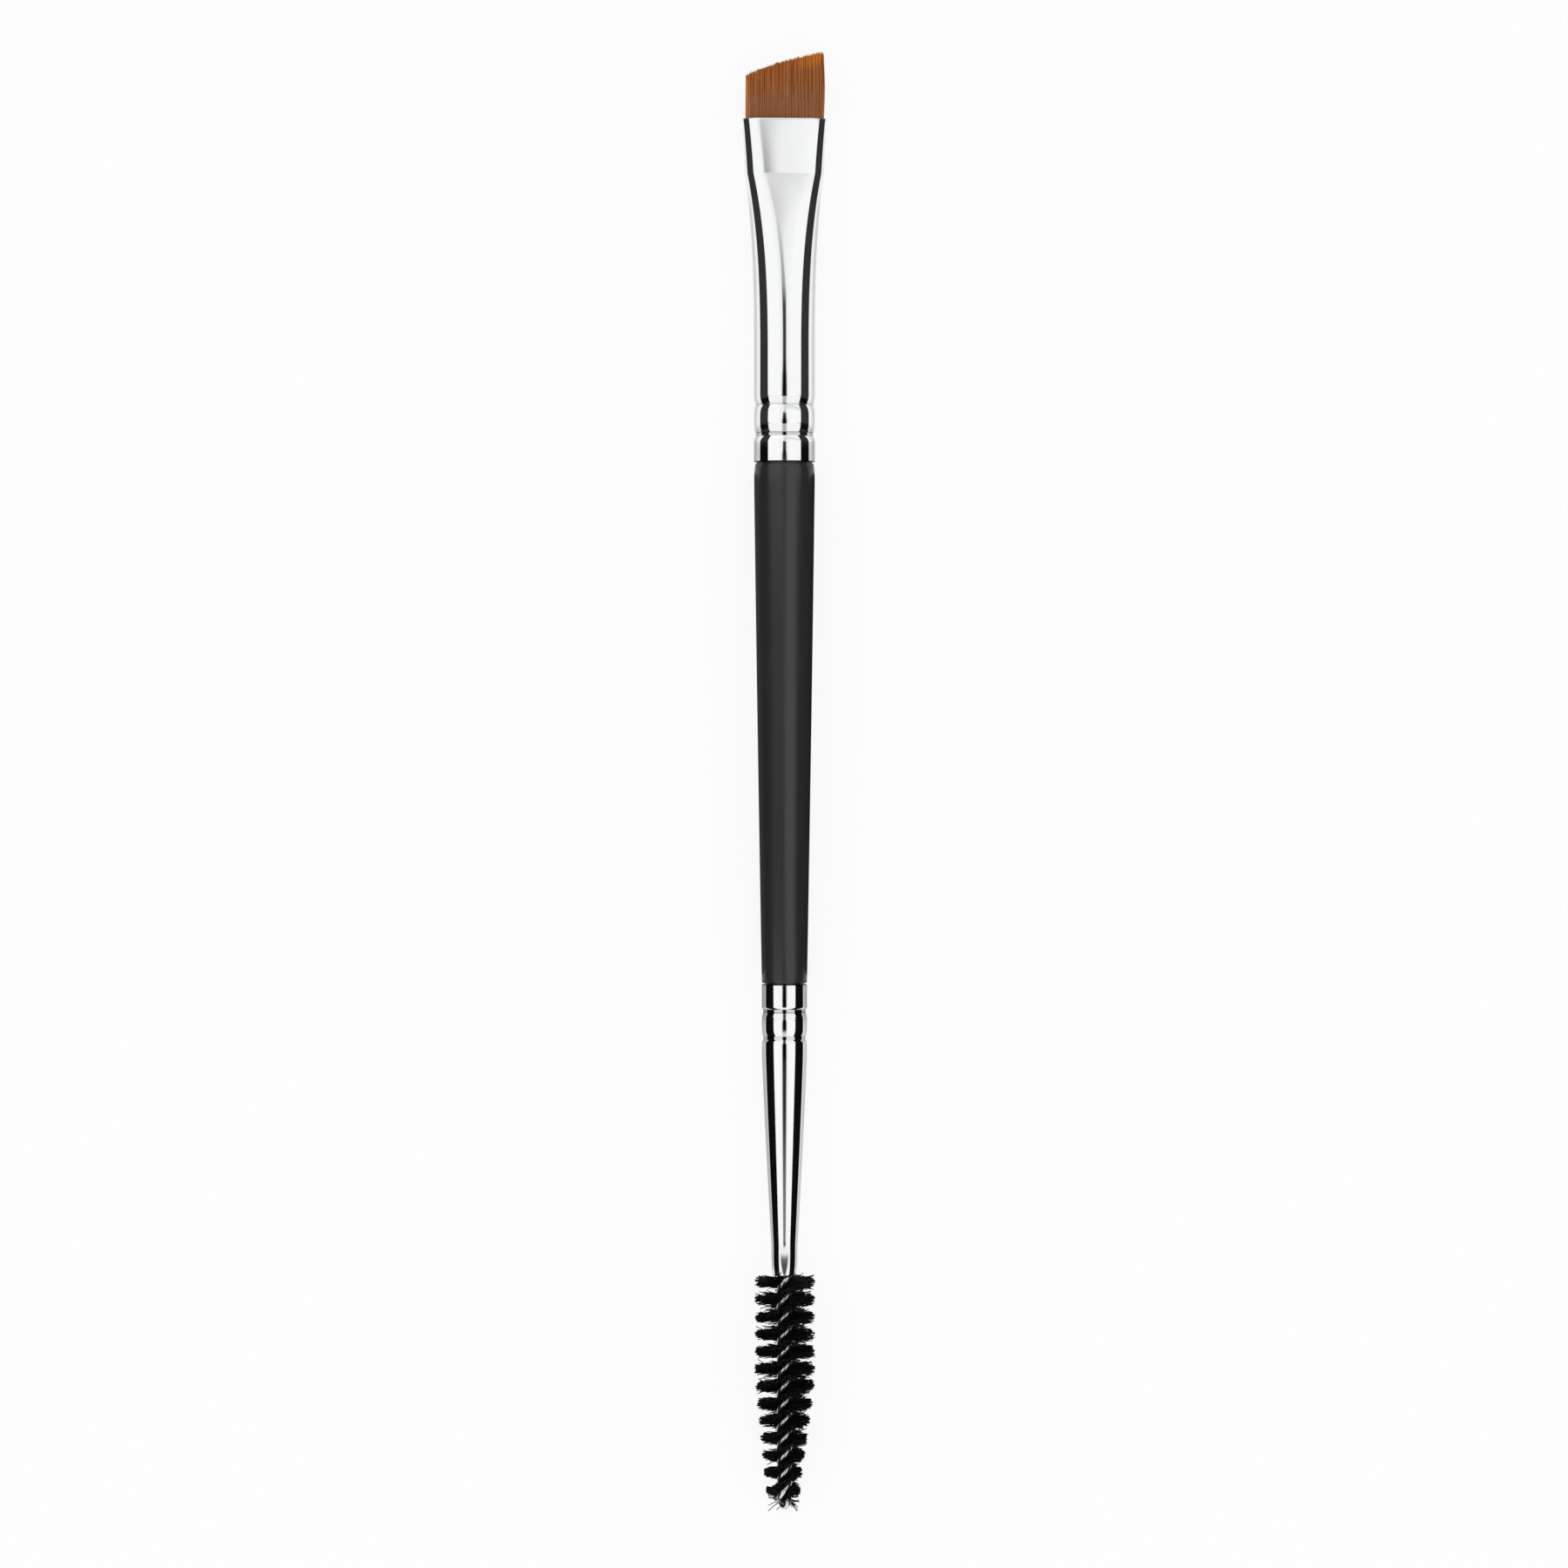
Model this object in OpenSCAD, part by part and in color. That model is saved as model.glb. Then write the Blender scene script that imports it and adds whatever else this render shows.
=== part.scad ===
// A two-ended eyebrow brush: an angled flat tuft at one end, a twisted wire spoolie at the other.
// Each piece is drawn upright, with the spoolie's tip at height zero and the tuft at the top.
// The finished brush is then laid down: tuft towards +Y, long side of the tuft towards +X.

/* [Angled tuft] */
// Length of the hair above the ferrule on the long side
tuft_long = 7.8; // [6:0.1:12]
// Length of the hair above the ferrule on the short side
tuft_short = 5.1; // [3:0.1:12]
// How far the cut edge bows up between the two sides
cut_bow = 0.2; // [0:0.05:0.6]
// Thickness of the hair just under the cut
tip_t = 1.3; // [0.8:0.1:1.6]
// Depth of the hair roots below the ferrule mouth
root_depth = 12; // [9:0.5:16]
// Length of the glue plug under the roots
tuft_glue_l = 4; // [2:0.5:8]
// Width of one lock of hair
lock_w = 0.3; // [0.25:0.05:0.6]
// How far a lock stands out from the hollow beside it
lock_relief = 0.05; // [0:0.01:0.1]

/* [Flat ferrule] */
// Length of the ferrule
flat_ferrule_l = 41; // [40:0.5:60]
// Outer diameter of the round tube that it is pressed from
tube_d = 7.28; // [6.5:0.02:9]
// Wall of both ferrules
wall = 0.3; // [0.2:0.05:0.4]
// Outer width of the pressed mouth
mouth_w = 10.1; // [9.4:0.1:12]
// Outer thickness of the pressed mouth
mouth_t = 3.5; // [2.6:0.05:3.9]
// Length of the parallel lip at the mouth
lip_l = 1.6; // [0.8:0.1:3]
// Distance from the mouth to the crease that the press leaves
crease_at = 6.6; // [5:0.1:7]
// Outer width at the crease
crease_w = 9.46; // [8.6:0.02:10.6]
// Outer thickness at the crease
crease_t = 4; // [3.5:0.05:4.6]
// Length over which the tube goes from the crease back to round
swage_l = 21; // [16:0.5:22]
// How quickly it goes back to round, where 1 is a straight wedge
swage_curve = 2.8; // [1.5:0.1:4]
// How far the middle of the mouth stands above its two edges
mouth_arch = 0.12; // [0:0.02:0.6]
// Length of the plain band at the handle end
band_l = 3.1; // [2.6:0.1:3.4]
// Length over which the band turns down into the first crimped groove
band_round = 0.8; // [0.2:0.1:1.2]
// Width of the floor of that groove
crimp_w = 0.4; // [0.3:0.05:0.5]
// Length of the barrel between the two grooves
barrel_l = 3.3; // [2.8:0.1:3.6]
// Width of the floor of the second groove
crimp_far_w = 0.1; // [0.05:0.05:0.4]
// Length over which the tube turns down into the second groove
run_in = 1.1; // [0.5:0.1:1.4]
// Depth of a groove
crimp_deep = 0.21; // [0.05:0.01:0.3]

/* [Handle] */
// Length of the bare wood between the two ferrules
handle_l = 62.3; // [50:0.5:120]
// Diameter of the wood below the flat ferrule
handle_top_d = 7.25; // [6:0.05:10]
// Diameter of the wood above the tapered ferrule
handle_end_d = 5.42; // [5:0.02:7]
// How far the taper swells outwards half way along
belly = 0.04; // [0:0.01:0.3]
// Length of the rounded shoulder below the flat ferrule
shoulder_l = 2.2; // [0.5:0.1:4]
// How far that shoulder turns in
shoulder_in = 0.21; // [0.05:0.01:0.25]
// Length of the small round at the other end
end_round = 0.4; // [0.1:0.1:1]
// Length of the tenon in the flat ferrule
tenon_l = 12; // [10:0.5:13]
// Length of the tenon in the tapered ferrule
thin_tenon_l = 10.5; // [9:0.5:13]

/* [Tapered ferrule] */
// Length of the ferrule
taper_ferrule_l = 34.8; // [30:0.5:60]
// Outer diameter at the handle
thin_d = 5.4; // [5:0.02:7]
// Outer diameter of the neck before the nose
neck_d = 3.12; // [2.9:0.02:4]
// Length of the straight part at the handle
straight_l = 8; // [7.8:0.1:12]
// Length of the straight neck
neck_l = 1.7; // [0.5:0.1:4]
// Length of the nose that is turned in on the wire
nose_l = 2.9; // [1.5:0.1:5]
// How quickly the taper starts, where 1 is a straight cone
draw_curve = 1.15; // [1:0.05:2]
// Length of the plain band at the handle end
thin_band_l = 3; // [2.6:0.1:3.3]
// Length over which the band turns down into the first crimped groove
thin_band_round = 0.3; // [0.1:0.1:1]
// Width of the floor of each groove
thin_crimp_w = 0.4; // [0.3:0.05:0.5]
// Length of the barrel between the two grooves
thin_barrel_l = 2.8; // [2.4:0.1:3.1]
// Length over which the tube turns down into the second groove
thin_run_in = 0.5; // [0.3:0.1:0.8]
// Depth of a groove
thin_crimp_deep = 0.16; // [0.05:0.01:0.25]

/* [Spoolie] */
// Length of the spoolie outside its ferrule
spool_l = 27.9; // [20:0.1:50]
// Diameter over the bristles
spool_d = 7.2; // [5:0.1:9]
// Diameter over the bristles at the tip
spool_tip_d = 3.7; // [2.8:0.1:5]
// Length over which the bristles get shorter
spool_taper_l = 15; // [5:0.5:18]
// Length of one full turn of the twist
pitch = 4.14; // [3.4:0.02:6]
// Distance from the nose to the first row of bristles
first_row = 0.7; // [0.3:0.1:1.2]
// Diameter of the wire
wire_d = 0.85; // [0.7:0.01:0.9]
// Gap between the two strands, which holds the bristles
strand_gap = 0.18; // [0.16:0.01:0.3]
// Length of the twisted stem inside the ferrule
stem_l = 12; // [8:0.5:14]
// Length over which the twist runs out before the hairpin
run_out = 0.4; // [0.4:0.1:2]
// Thickness of a row of bristles at its rim
row_t = 2.3; // [1.2:0.1:3]
// How far the shortest bristle ends fall behind the longest, as a share of the length
ragged = 0.07; // [0:0.01:0.15]
// Length of the glue plug around the stem
wire_glue_l = 7; // [4:0.5:8]

/* [Fits] */
// Room around the hair roots in the flat ferrule
hair_fit = 0.05; // [0.03:0.01:0.1]
// Room around a plug of glue
glue_fit = 0.03; // [0.02:0.01:0.06]
// Room around a tenon
tenon_fit = 0.03; // [0.02:0.01:0.08]
// Gap between a ferrule and the shoulder of the wood
shoulder_gap = 0.15; // [0.02:0.01:0.2]
// Room around the twisted wire in the nose
wire_fit = 0.05; // [0.03:0.01:0.1]
// Room between the bristles and the wire
bristle_fit = 0.06; // [0.05:0.01:0.07]

/* [Hidden] */

$fn = 96;

// Heights of the ends of the pieces above the tip of the spoolie
z_nose = spool_l;
z_low = z_nose + taper_ferrule_l;
z_high = z_low + handle_l;
z_mouth = z_high + flat_ferrule_l;
overall_l = z_mouth + max(tuft_long, tuft_short);

// The thickest round piece is what the brush lies on
axis_h = max(tube_d, handle_top_d, spool_d) / 2;

// The swage ends and the plain round tube starts at this depth below the mouth
round_from = crease_at + swage_l;

// Faces around the pressed tube, and the depths at which its section is drawn
tube_faces = 44;
press_depths = concat([0, lip_l / 2, lip_l, (lip_l + crease_at) / 2, crease_at],
                      [for (share = [0.04, 0.1, 0.17, 0.26, 0.37, 0.52, 0.7, 1])
                          crease_at + share * swage_l]);
// The pressed part meets the round part inside the wall, by this small step
joint_step = 0.005;
// The higher this is, the flatter the two pressed faces are and the tighter their round ends
flat_gain = 2.2;

// Number of short straight steps that draw a barrel, a turned-down edge, a taper or a rounded end
barrel_steps = 12;
edge_steps = 4;
taper_steps = 12;
round_steps = 6;
tenon_chamfer = 0.5;

// The two strands touch the bristles on both sides, and wind around the axis at this radius
strand_r = (wire_d + strand_gap) / 2;
twist_d = 2 * strand_r + wire_d;
z_hairpin = twist_d / 2;
wire_faces = 8;
wire_steps = 12;
hairpin_steps = 6;
nose_d = twist_d + 2 * (wire_fit + wall);

// Bristle rows: sections drawn for each turn, and the places of the points of a section
row_steps = 16;
bar_t = strand_gap - 2 * bristle_fit;
bar_end = [0.35 * wire_d, bar_t / 2];
root_end = [0.73 * wire_d, 0.33 * wire_d];
base_r = twist_d / 2 + 0.1;
base_spread = 58;
rim_spread_max = 35;
rib_share = 0.88;
rim_points = 5;
z_row_start = z_hairpin + 0.03;
z_row_end = z_nose - 0.1;
row_count = ceil((z_row_end - z_row_start) / pitch * row_steps);
ragged_ends = rands(0, 1, (row_count + 1) * 2 * rim_points, 11);

// Locks of hair across the tuft, with two columns of points for each
columns = 2 * round(2 * hair_half_w(0) / lock_w);
cut_ends = rands(0, 1, columns + 1, 5);
cut_ragged = 0.16;

function mix(a, b, share) = a + (b - a) * share;
function polar(r, a) = [r * cos(a), r * sin(a)];
function backwards(list) = [for (i = [len(list) - 1:-1:0]) list[i]];

// A crimped end, in the order of its parts: depth, band and its turned-down edge, groove,
// barrel, second groove and the run-in of the tube
tube_crimp = [crimp_deep, band_l, band_round, crimp_w, barrel_l, crimp_far_w, run_in];
thin_crimp = [thin_crimp_deep, thin_band_l, thin_band_round, thin_crimp_w, thin_barrel_l,
              thin_crimp_w, thin_run_in];
// The higher these are, the flatter the middle of the barrel is and the later an edge turns down
barrel_power = 3.5;
edge_power = 2;
function barrel_from(crimp) = crimp[1] + crimp[3];
function barrel_to(crimp) = barrel_from(crimp) + crimp[4];
function tube_from(crimp) = barrel_to(crimp) + crimp[5];

// Depth of a crimped end at h from the handle, and the places where its outline is drawn
function crimped(h, crimp) =
    crimp[0] * (h < crimp[1] ? pow(max(0, 1 - (crimp[1] - h) / crimp[2]), edge_power)
                : h < barrel_from(crimp) ? 1
                : h < barrel_to(crimp)
                    ? pow(abs(2 * (h - barrel_from(crimp)) / crimp[4] - 1), barrel_power)
                : h < tube_from(crimp) ? 1
                : pow(max(0, 1 - (h - tube_from(crimp)) / crimp[6]), edge_power));
function crimp_places(crimp) =
    concat([for (i = [0:edge_steps]) crimp[1] - crimp[2] * (1 - i / edge_steps)],
           [for (i = [0:barrel_steps]) barrel_from(crimp) + crimp[4] * i / barrel_steps],
           [for (i = [0:edge_steps]) tube_from(crimp) + crimp[6] * i / edge_steps]);

// Outer radius of the round tube of the flat ferrule, h above its handle end
function tube_r(h) = tube_d / 2 - crimped(h, tube_crimp);

// Outer radius of the tapered ferrule, h below its handle end
cone_l = taper_ferrule_l - straight_l - neck_l - nose_l;
nose_from = taper_ferrule_l - nose_l;
function cone_r(h) =
    mix(thin_d, neck_d, pow(min(1, max(0, h - straight_l) / cone_l), draw_curve)) / 2;
function nose_r(h) = mix(nose_d, neck_d, sqrt(max(0, 1 - pow((h - nose_from) / nose_l, 2)))) / 2;
function thin_r(h) = (h > nose_from ? nose_r(h) : cone_r(h)) - crimped(h, thin_crimp);
thin_places = concat([0], crimp_places(thin_crimp),
                     [for (i = [0:taper_steps]) straight_l + cone_l * i / taper_steps],
                     [for (i = [0:round_steps]) nose_from + nose_l * sin(90 * i / round_steps)]);

// A size of the pressed tube at a depth, from its values at the mouth and at the crease
function pressed(d, at_mouth, at_crease) =
    d < lip_l ? at_mouth
    : d < crease_at ? mix(at_mouth, at_crease, (d - lip_l) / (crease_at - lip_l))
    : mix(tube_d, at_crease, pow(max(0, 1 - (d - crease_at) / swage_l), swage_curve));
function press_t(d) = pressed(d, mouth_t, crease_t);
function press_w(d) = pressed(d, mouth_w, crease_w);

// Half length of the flat between the two round ends of the section
function press_run(d) = (press_w(d) - press_t(d)) / 2;

// Ring of points of the pressed tube at a depth, moved in from its outer face
function press_ring(d, inset) =
    let (t = press_t(d), run = press_run(d), half_w = run + t / 2)
    [for (i = [0:tube_faces - 1])
        let (a = 360 * i / tube_faces,
             x = run * max(-1, min(1, flat_gain * cos(a))) + (t / 2 - inset) * cos(a),
             arch = d == 0 ? mouth_arch * pow(x / half_w, 2) : 0)
        [x, (t / 2 - inset) * sin(a), z_mouth - d - arch]];

// Half width of the hair at a depth below the mouth, and half thickness at a place across it
function hair_half_t(d) = press_t(d) / 2 - wall - hair_fit;
function hair_half_w(d) = press_run(d) + hair_half_t(d);
function across(x, run, half_t) =
    let (c = abs(x) < run + half_t / flat_gain ? abs(x) / (flat_gain * run + half_t)
                                               : (abs(x) - run) / half_t)
    half_t * sqrt(max(0, 1 - c * c));

// Angle of the bristle rows around the axis at a height, with the twist running out at the tip
function twist_at(z) = 360 * (z - z_nose + first_row) / pitch;
function row_angle(z) =
    let (h = z - z_hairpin)
    h > run_out ? twist_at(z)
    : twist_at(z_hairpin + run_out) - 180 * (run_out - pow(max(0, h), 2) / run_out) / pitch;
function twist_rate(z) = 2 * PI / pitch * min(1, max(0, z - z_hairpin) / run_out);

// Faces between rings that each have the same number of points, listed upwards and turning left
function side_faces(rings, n, first = 0) =
    [for (k = [0:rings - 2], i = [0:n - 1])
        let (a = first + k * n + i, b = first + k * n + (i + 1) % n)
        each [[a, a + n, b], [b, a + n, b + n]]];

// A closed solid through a list of rings, with flat ends
module skin(rings) {
    n = len(rings[0]);
    last = (len(rings) - 1) * n;
    polyhedron(points = [for (ring = rings) each ring],
               faces = concat([[for (i = [0:n - 1]) i]],
                              side_faces(len(rings), n),
                              [[for (i = [n - 1:-1:0]) last + i]]),
               convexity = 10);
}

// A closed wall between two lists of rings that are listed upwards
module wall_skin(outer, inner) {
    n = len(outer[0]);
    k = len(outer);
    rings = concat(outer, backwards(inner));
    points = [for (ring = rings) each ring];
    polyhedron(points = points,
               faces = concat(side_faces(len(rings), n),
                              [for (f = side_faces(2, n)) [for (p = f) p < n ? p + (2 * k - 1) * n : p - n]]),
               convexity = 10);
}

// A round wall between an outline and the same outline moved in by the wall
module turned_wall(outline, inset) {
    rotate_extrude()
        polygon(concat(outline, backwards([for (p = outline) [p.x - inset, p.y]])));
}

// Lays an upright piece on the table, with the middle of the brush over the origin
module lay() {
    translate([0, -overall_l / 2, axis_h]) rotate([-90, 0, 0]) children();
}

// Hair set in the pressed mouth, cut on the slant, with locks that show as fine ridges
module angled_tuft() {
    root_levels = [root_depth, (root_depth + crease_at) / 2, crease_at, lip_l, 0];
    // Shares of the free length, with the thickness and the relief of the locks there
    mouth_hair_t = 2 * hair_half_t(0);
    free_levels = [[0.07, mouth_hair_t + 0.1, 0.5],
                   [0.4, mix(mouth_hair_t, tip_t, 0.2), 1],
                   [0.72, mix(mouth_hair_t, tip_t, 0.65), 1],
                   [0.93, tip_t, 1],
                   [1, tip_t / 2, 0.4]];
    run = press_run(0);
    loop = concat([for (i = [0:columns]) [i, -1]], [for (i = [columns - 1:-1:1]) [i, 1]]);

    function free_height(i) =
        let (share = i / columns)
        mix(tuft_short, tuft_long, share) + cut_bow * 4 * share * (1 - share)
        - cut_ragged * cut_ends[i];
    function relief(i, side) = lock_relief * ((i + (side > 0 ? 1 : 0)) % 2 - 0.5);

    root_rings = [for (d = root_levels)
        let (half_w = hair_half_w(d))
        [for (p = loop)
            let (x = half_w * (2 * p[0] / columns - 1))
            [x, p[1] * across(x, press_run(d), hair_half_t(d)), z_mouth - d]]];
    free_rings = [for (level = free_levels)
        let (half_t = level[1] / 2, half_w = run + hair_half_t(0))
        [for (p = loop)
            let (share = 2 * p[0] / columns - 1,
                 y = across(share * (run + half_t), run, half_t),
                 out = p[0] % columns == 0 ? 0 : level[2] * relief(p[0], p[1]))
            [share * half_w, p[1] * (y + out), z_mouth + level[0] * free_height(p[0])]]];

    rings = concat(root_rings, free_rings);
    n = len(loop);
    top = (len(rings) - 1) * n;
    back = function (i) top + (n - i) % n;
    color([0.55, 0.34, 0.2])
        polyhedron(points = [for (ring = rings) each ring],
                   faces = concat([[for (i = [0:n - 1]) i]],
                                  side_faces(len(rings), n),
                                  [[top, back(1), top + 1]],
                                  [for (i = [1:columns - 2]) each
                                      [[top + i, back(i), top + i + 1],
                                       [top + i + 1, back(i), back(i + 1)]]],
                                  [[top + columns - 1, back(columns - 1), top + columns]]),
                   convexity = 10);
}

// Hardened glue that fills the tube under the hair roots
module tuft_glue() {
    depths = [for (i = [2:-1:0]) root_depth + tuft_glue_l * i / 2];
    color([0.75, 0.62, 0.35])
        skin([for (d = depths) press_ring(d, wall + glue_fit)]);
}

// One seamless tube: round and crimped on the wood, then pressed to a flat mouth
module flat_ferrule() {
    round_l = flat_ferrule_l - round_from;
    places = concat([0], crimp_places(tube_crimp), [round_l]);
    depths = backwards(press_depths);
    // At the join the pressed wall is a hair thinner on both faces than the round one
    outer = [for (d = depths) press_ring(d, d == round_from ? joint_step : 0)];
    inner = [for (d = depths) press_ring(d, d == round_from ? wall - 3 * joint_step : wall)];
    color([0.86, 0.87, 0.89]) union() {
        turned_wall([for (h = places) [tube_r(h), z_high + h]], wall);
        wall_skin(outer, inner);
    }
}

// Turned and lacquered wood, with a grooved tenon at each end
module handle() {
    function body_r(share) =
        mix(handle_end_d, handle_top_d, share) / 2 + belly * 4 * share * (1 - share);
    bottom = z_low + shoulder_gap;
    top = z_high - shoulder_gap;
    thin_inset = wall + tenon_fit;
    body_from = bottom + end_round;
    body_to = top - shoulder_l;
    thin_tenon = [for (h = backwards(concat([0], crimp_places(thin_crimp))))
        [thin_r(h) - thin_inset, z_low - h]];
    tenon = [for (h = concat([0], crimp_places(tube_crimp))) [tube_r(h) - thin_inset, z_high + h]];
    end_curve = [for (i = [0:round_steps])
        let (a = 90 * i / round_steps)
        [body_r(0) - shoulder_in / 2 * (1 - sin(a)), body_from - end_round * cos(a)]];
    shoulder_curve = [for (i = [0:round_steps])
        let (a = 90 * i / round_steps)
        [body_r(1) - shoulder_in * (1 - cos(a)), body_to + shoulder_l * sin(a)]];
    body = [for (i = [1:taper_steps - 1])
        let (share = i / taper_steps)
        [body_r(share), mix(body_from, body_to, share)]];
    thin_end = z_low - thin_tenon_l;
    tenon_end = z_high + tenon_l;
    thin_tenon_r = thin_r(thin_tenon_l) - thin_inset;
    tenon_r = tube_r(tenon_l) - thin_inset;
    color([0.12, 0.12, 0.13]) rotate_extrude()
        polygon(concat([[0, thin_end], [thin_tenon_r - tenon_chamfer, thin_end],
                        [thin_tenon_r, thin_end + tenon_chamfer]],
                       thin_tenon,
                       [[thin_r(0) - thin_inset, bottom]],
                       end_curve, body, shoulder_curve,
                       [[tube_r(0) - thin_inset, top]],
                       tenon,
                       [[tenon_r, tenon_end - tenon_chamfer],
                        [tenon_r - tenon_chamfer, tenon_end], [0, tenon_end]]));
}

// Drawn tube: crimped on the wood, tapered, with its nose turned in on the wire
module taper_ferrule() {
    color([0.86, 0.87, 0.89])
        turned_wall([for (h = thin_places) [thin_r(h), z_low - h]], wall);
}

// Glue that locks the twisted stem behind the nose
module wire_glue() {
    from = nose_from - wire_glue_l;
    places = [for (h = concat([from], thin_places)) if (h >= from && h <= nose_from) h];
    glue_in = wall + glue_fit;
    stem_hole_r = twist_d / 2 + glue_fit;
    color([0.8, 0.72, 0.5]) rotate_extrude()
        polygon(concat([for (h = places) [thin_r(h) - glue_in, z_low - h]],
                       [[stem_hole_r, z_low - nose_from], [stem_hole_r, z_low - from]]));
}

// One wire, bent into a hairpin at the tip and twisted on itself to the right
module core_wire() {
    z_stem = z_nose + stem_l;
    steps = ceil((z_stem - z_hairpin) / pitch * wire_steps);
    heights = [for (i = [0:steps]) mix(z_stem, z_hairpin, i / steps)];

    // Ring of points around a place, square to the way that the wire runs there
    function wire_ring(place, way, out) =
        let (side = cross(way / norm(way), out))
        [for (i = [0:wire_faces - 1])
            let (p = polar(wire_d / 2, 360 * i / wire_faces)) place + p.x * out + p.y * side];
    // Ring of a strand at a height, where way is 1 for the strand that is drawn upwards
    function strand_ring(z, turn, way) =
        let (a = row_angle(z) + turn,
             out = [cos(a), sin(a), 0],
             slope = strand_r * twist_rate(z))
        wire_ring(strand_r * out + [0, 0, z], way * [-slope * sin(a), slope * cos(a), 1], out);

    tip_a = row_angle(z_hairpin) - 90;
    tip_out = [cos(tip_a), sin(tip_a), 0];
    hairpin = [for (i = [1:hairpin_steps - 1])
        let (a = 180 * i / hairpin_steps,
             out = cos(a) * tip_out - [0, 0, sin(a)])
        wire_ring([0, 0, z_hairpin] + strand_r * out, -sin(a) * tip_out - [0, 0, cos(a)], out)];
    color([0.72, 0.72, 0.74])
        skin(concat([for (z = heights) strand_ring(z, -90, -1)],
                    hairpin,
                    [for (z = backwards(heights)) strand_ring(z, 90, 1)]));
}

// Bristles held between the strands, in two rows that wind around the wire like a screw
module spoolie_bristles() {
    function reach(z) = min(spool_d, mix(spool_tip_d, spool_d, z / spool_taper_l)) / 2;
    // Half of a level section: out along one flank, around the ragged rim and back
    function half_section(k, first) =
        let (z = mix(z_row_start, z_row_end, k / row_count),
             r = reach(z),
             spread = asin(min(row_t / 2 / r, sin(rim_spread_max))),
             flank_r = (base_r + r) / 2,
             flank_y = min(row_t, 2 * r * sin(rim_spread_max)) / 2 * (k % 2 == 0 ? 1 : rib_share),
             flank = [sqrt(pow(flank_r, 2) - pow(min(flank_y, 0.75 * flank_r), 2)),
                      min(flank_y, 0.75 * flank_r)],
             upper = [flank, polar(base_r, base_spread), root_end, bar_end])
        concat([for (p = backwards(upper)) [p.x, -p.y]],
               [for (j = [0:rim_points - 1])
                   let (end = ragged * ragged_ends[k * 2 * rim_points + first + j])
                   polar(r * (1 - end), spread * (2 * j / (rim_points - 1) - 1))],
               upper);
    rings = [for (k = [0:row_count])
        let (z = mix(z_row_start, z_row_end, k / row_count),
             a = row_angle(z),
             section = concat(half_section(k, 0),
                              [for (p = half_section(k, rim_points)) -p]))
        [for (p = section) [p.x * cos(a) - p.y * sin(a), p.x * sin(a) + p.y * cos(a), z]]];
    color([0.06, 0.06, 0.06]) skin(rings);
}

lay() angled_tuft();
lay() tuft_glue();
lay() flat_ferrule();
lay() handle();
lay() taper_ferrule();
lay() wire_glue();
lay() core_wire();
lay() spoolie_bristles();
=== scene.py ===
import math
import random

import bpy
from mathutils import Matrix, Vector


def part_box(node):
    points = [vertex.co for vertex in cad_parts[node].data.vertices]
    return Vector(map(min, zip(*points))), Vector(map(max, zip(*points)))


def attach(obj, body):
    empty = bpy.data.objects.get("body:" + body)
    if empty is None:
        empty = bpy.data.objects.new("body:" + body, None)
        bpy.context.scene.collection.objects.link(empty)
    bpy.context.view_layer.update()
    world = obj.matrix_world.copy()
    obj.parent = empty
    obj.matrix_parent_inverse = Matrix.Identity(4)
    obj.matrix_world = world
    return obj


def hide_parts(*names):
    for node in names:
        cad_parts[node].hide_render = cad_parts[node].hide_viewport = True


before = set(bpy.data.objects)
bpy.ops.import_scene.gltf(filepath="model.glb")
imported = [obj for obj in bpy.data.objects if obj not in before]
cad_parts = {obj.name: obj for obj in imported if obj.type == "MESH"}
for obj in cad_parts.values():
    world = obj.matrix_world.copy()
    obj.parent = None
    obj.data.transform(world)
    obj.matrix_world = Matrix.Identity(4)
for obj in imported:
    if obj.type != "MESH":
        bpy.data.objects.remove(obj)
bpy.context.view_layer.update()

# Eyebrow brush, lying on a pale table and seen from straight above.
# Lengths are in metres, and most of them are written as millimetres times MM.
MM = 0.001

# Places along the brush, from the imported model: +Y runs towards the angled tuft
Y_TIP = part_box("core_wire")[0].y
Y_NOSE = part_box("taper_ferrule")[0].y
Y_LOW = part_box("taper_ferrule")[1].y
Y_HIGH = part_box("flat_ferrule")[0].y
Y_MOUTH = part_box("flat_ferrule")[1].y
AXIS_Z = (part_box("flat_ferrule")[0].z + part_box("flat_ferrule")[1].z) / 2

# Flat ferrule
TUBE_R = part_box("flat_ferrule")[1].z - AXIS_Z
FERRULE_SIDES = 144
WALL = 0.3 * MM
RIM_ROUND = 0.07 * MM
CREASE_AT = 6.6 * MM
CREASE_RINGS = (-0.2 * MM, -0.06 * MM, 0, 0.06 * MM, 0.2 * MM)
SWAGE_L = 21 * MM
SWAGE_CURVE = 2.8
CREASE_SHARE = 0.77
# How much steeper the press is at the lip than on average up to the crease
LIP_STEEP = 1.3
# The pressed outline curves least where it faces a little to the right. Facings are in degrees.
PRESS_WIDTH = 10.1 * MM
PRESS_THIN = 0.93
FLAT_RADIUS = 51 * MM
FLAT_FACES = 4.6
FLAT_SPREAD = 3.8
END_RADIUS = 1.4 * MM
CORNER_RADIUS = 1.3 * MM
CORNER_FACES = 42
CORNER_SPREAD = 16
OUTLINE_STEPS = 3600

# The crimped end of each ferrule, from the handle on: band, groove, barrel, groove, run-in
TUBE_CRIMP = {
    "deep": 0.21 * MM,
    "band": 3.1 * MM,
    "round": 0.8 * MM,
    "floor": 0.4 * MM,
    "barrel": 3.3 * MM,
    "far_floor": 0.1 * MM,
    "run_in": 1.1 * MM,
}
THIN_CRIMP = {
    "deep": 0.16 * MM,
    "band": 3.0 * MM,
    "round": 0.3 * MM,
    "floor": 0.4 * MM,
    "barrel": 2.8 * MM,
    "far_floor": 0.4 * MM,
    "run_in": 0.5 * MM,
}
BARREL_POWER = 3.5
EDGE_POWER = 2
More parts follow.
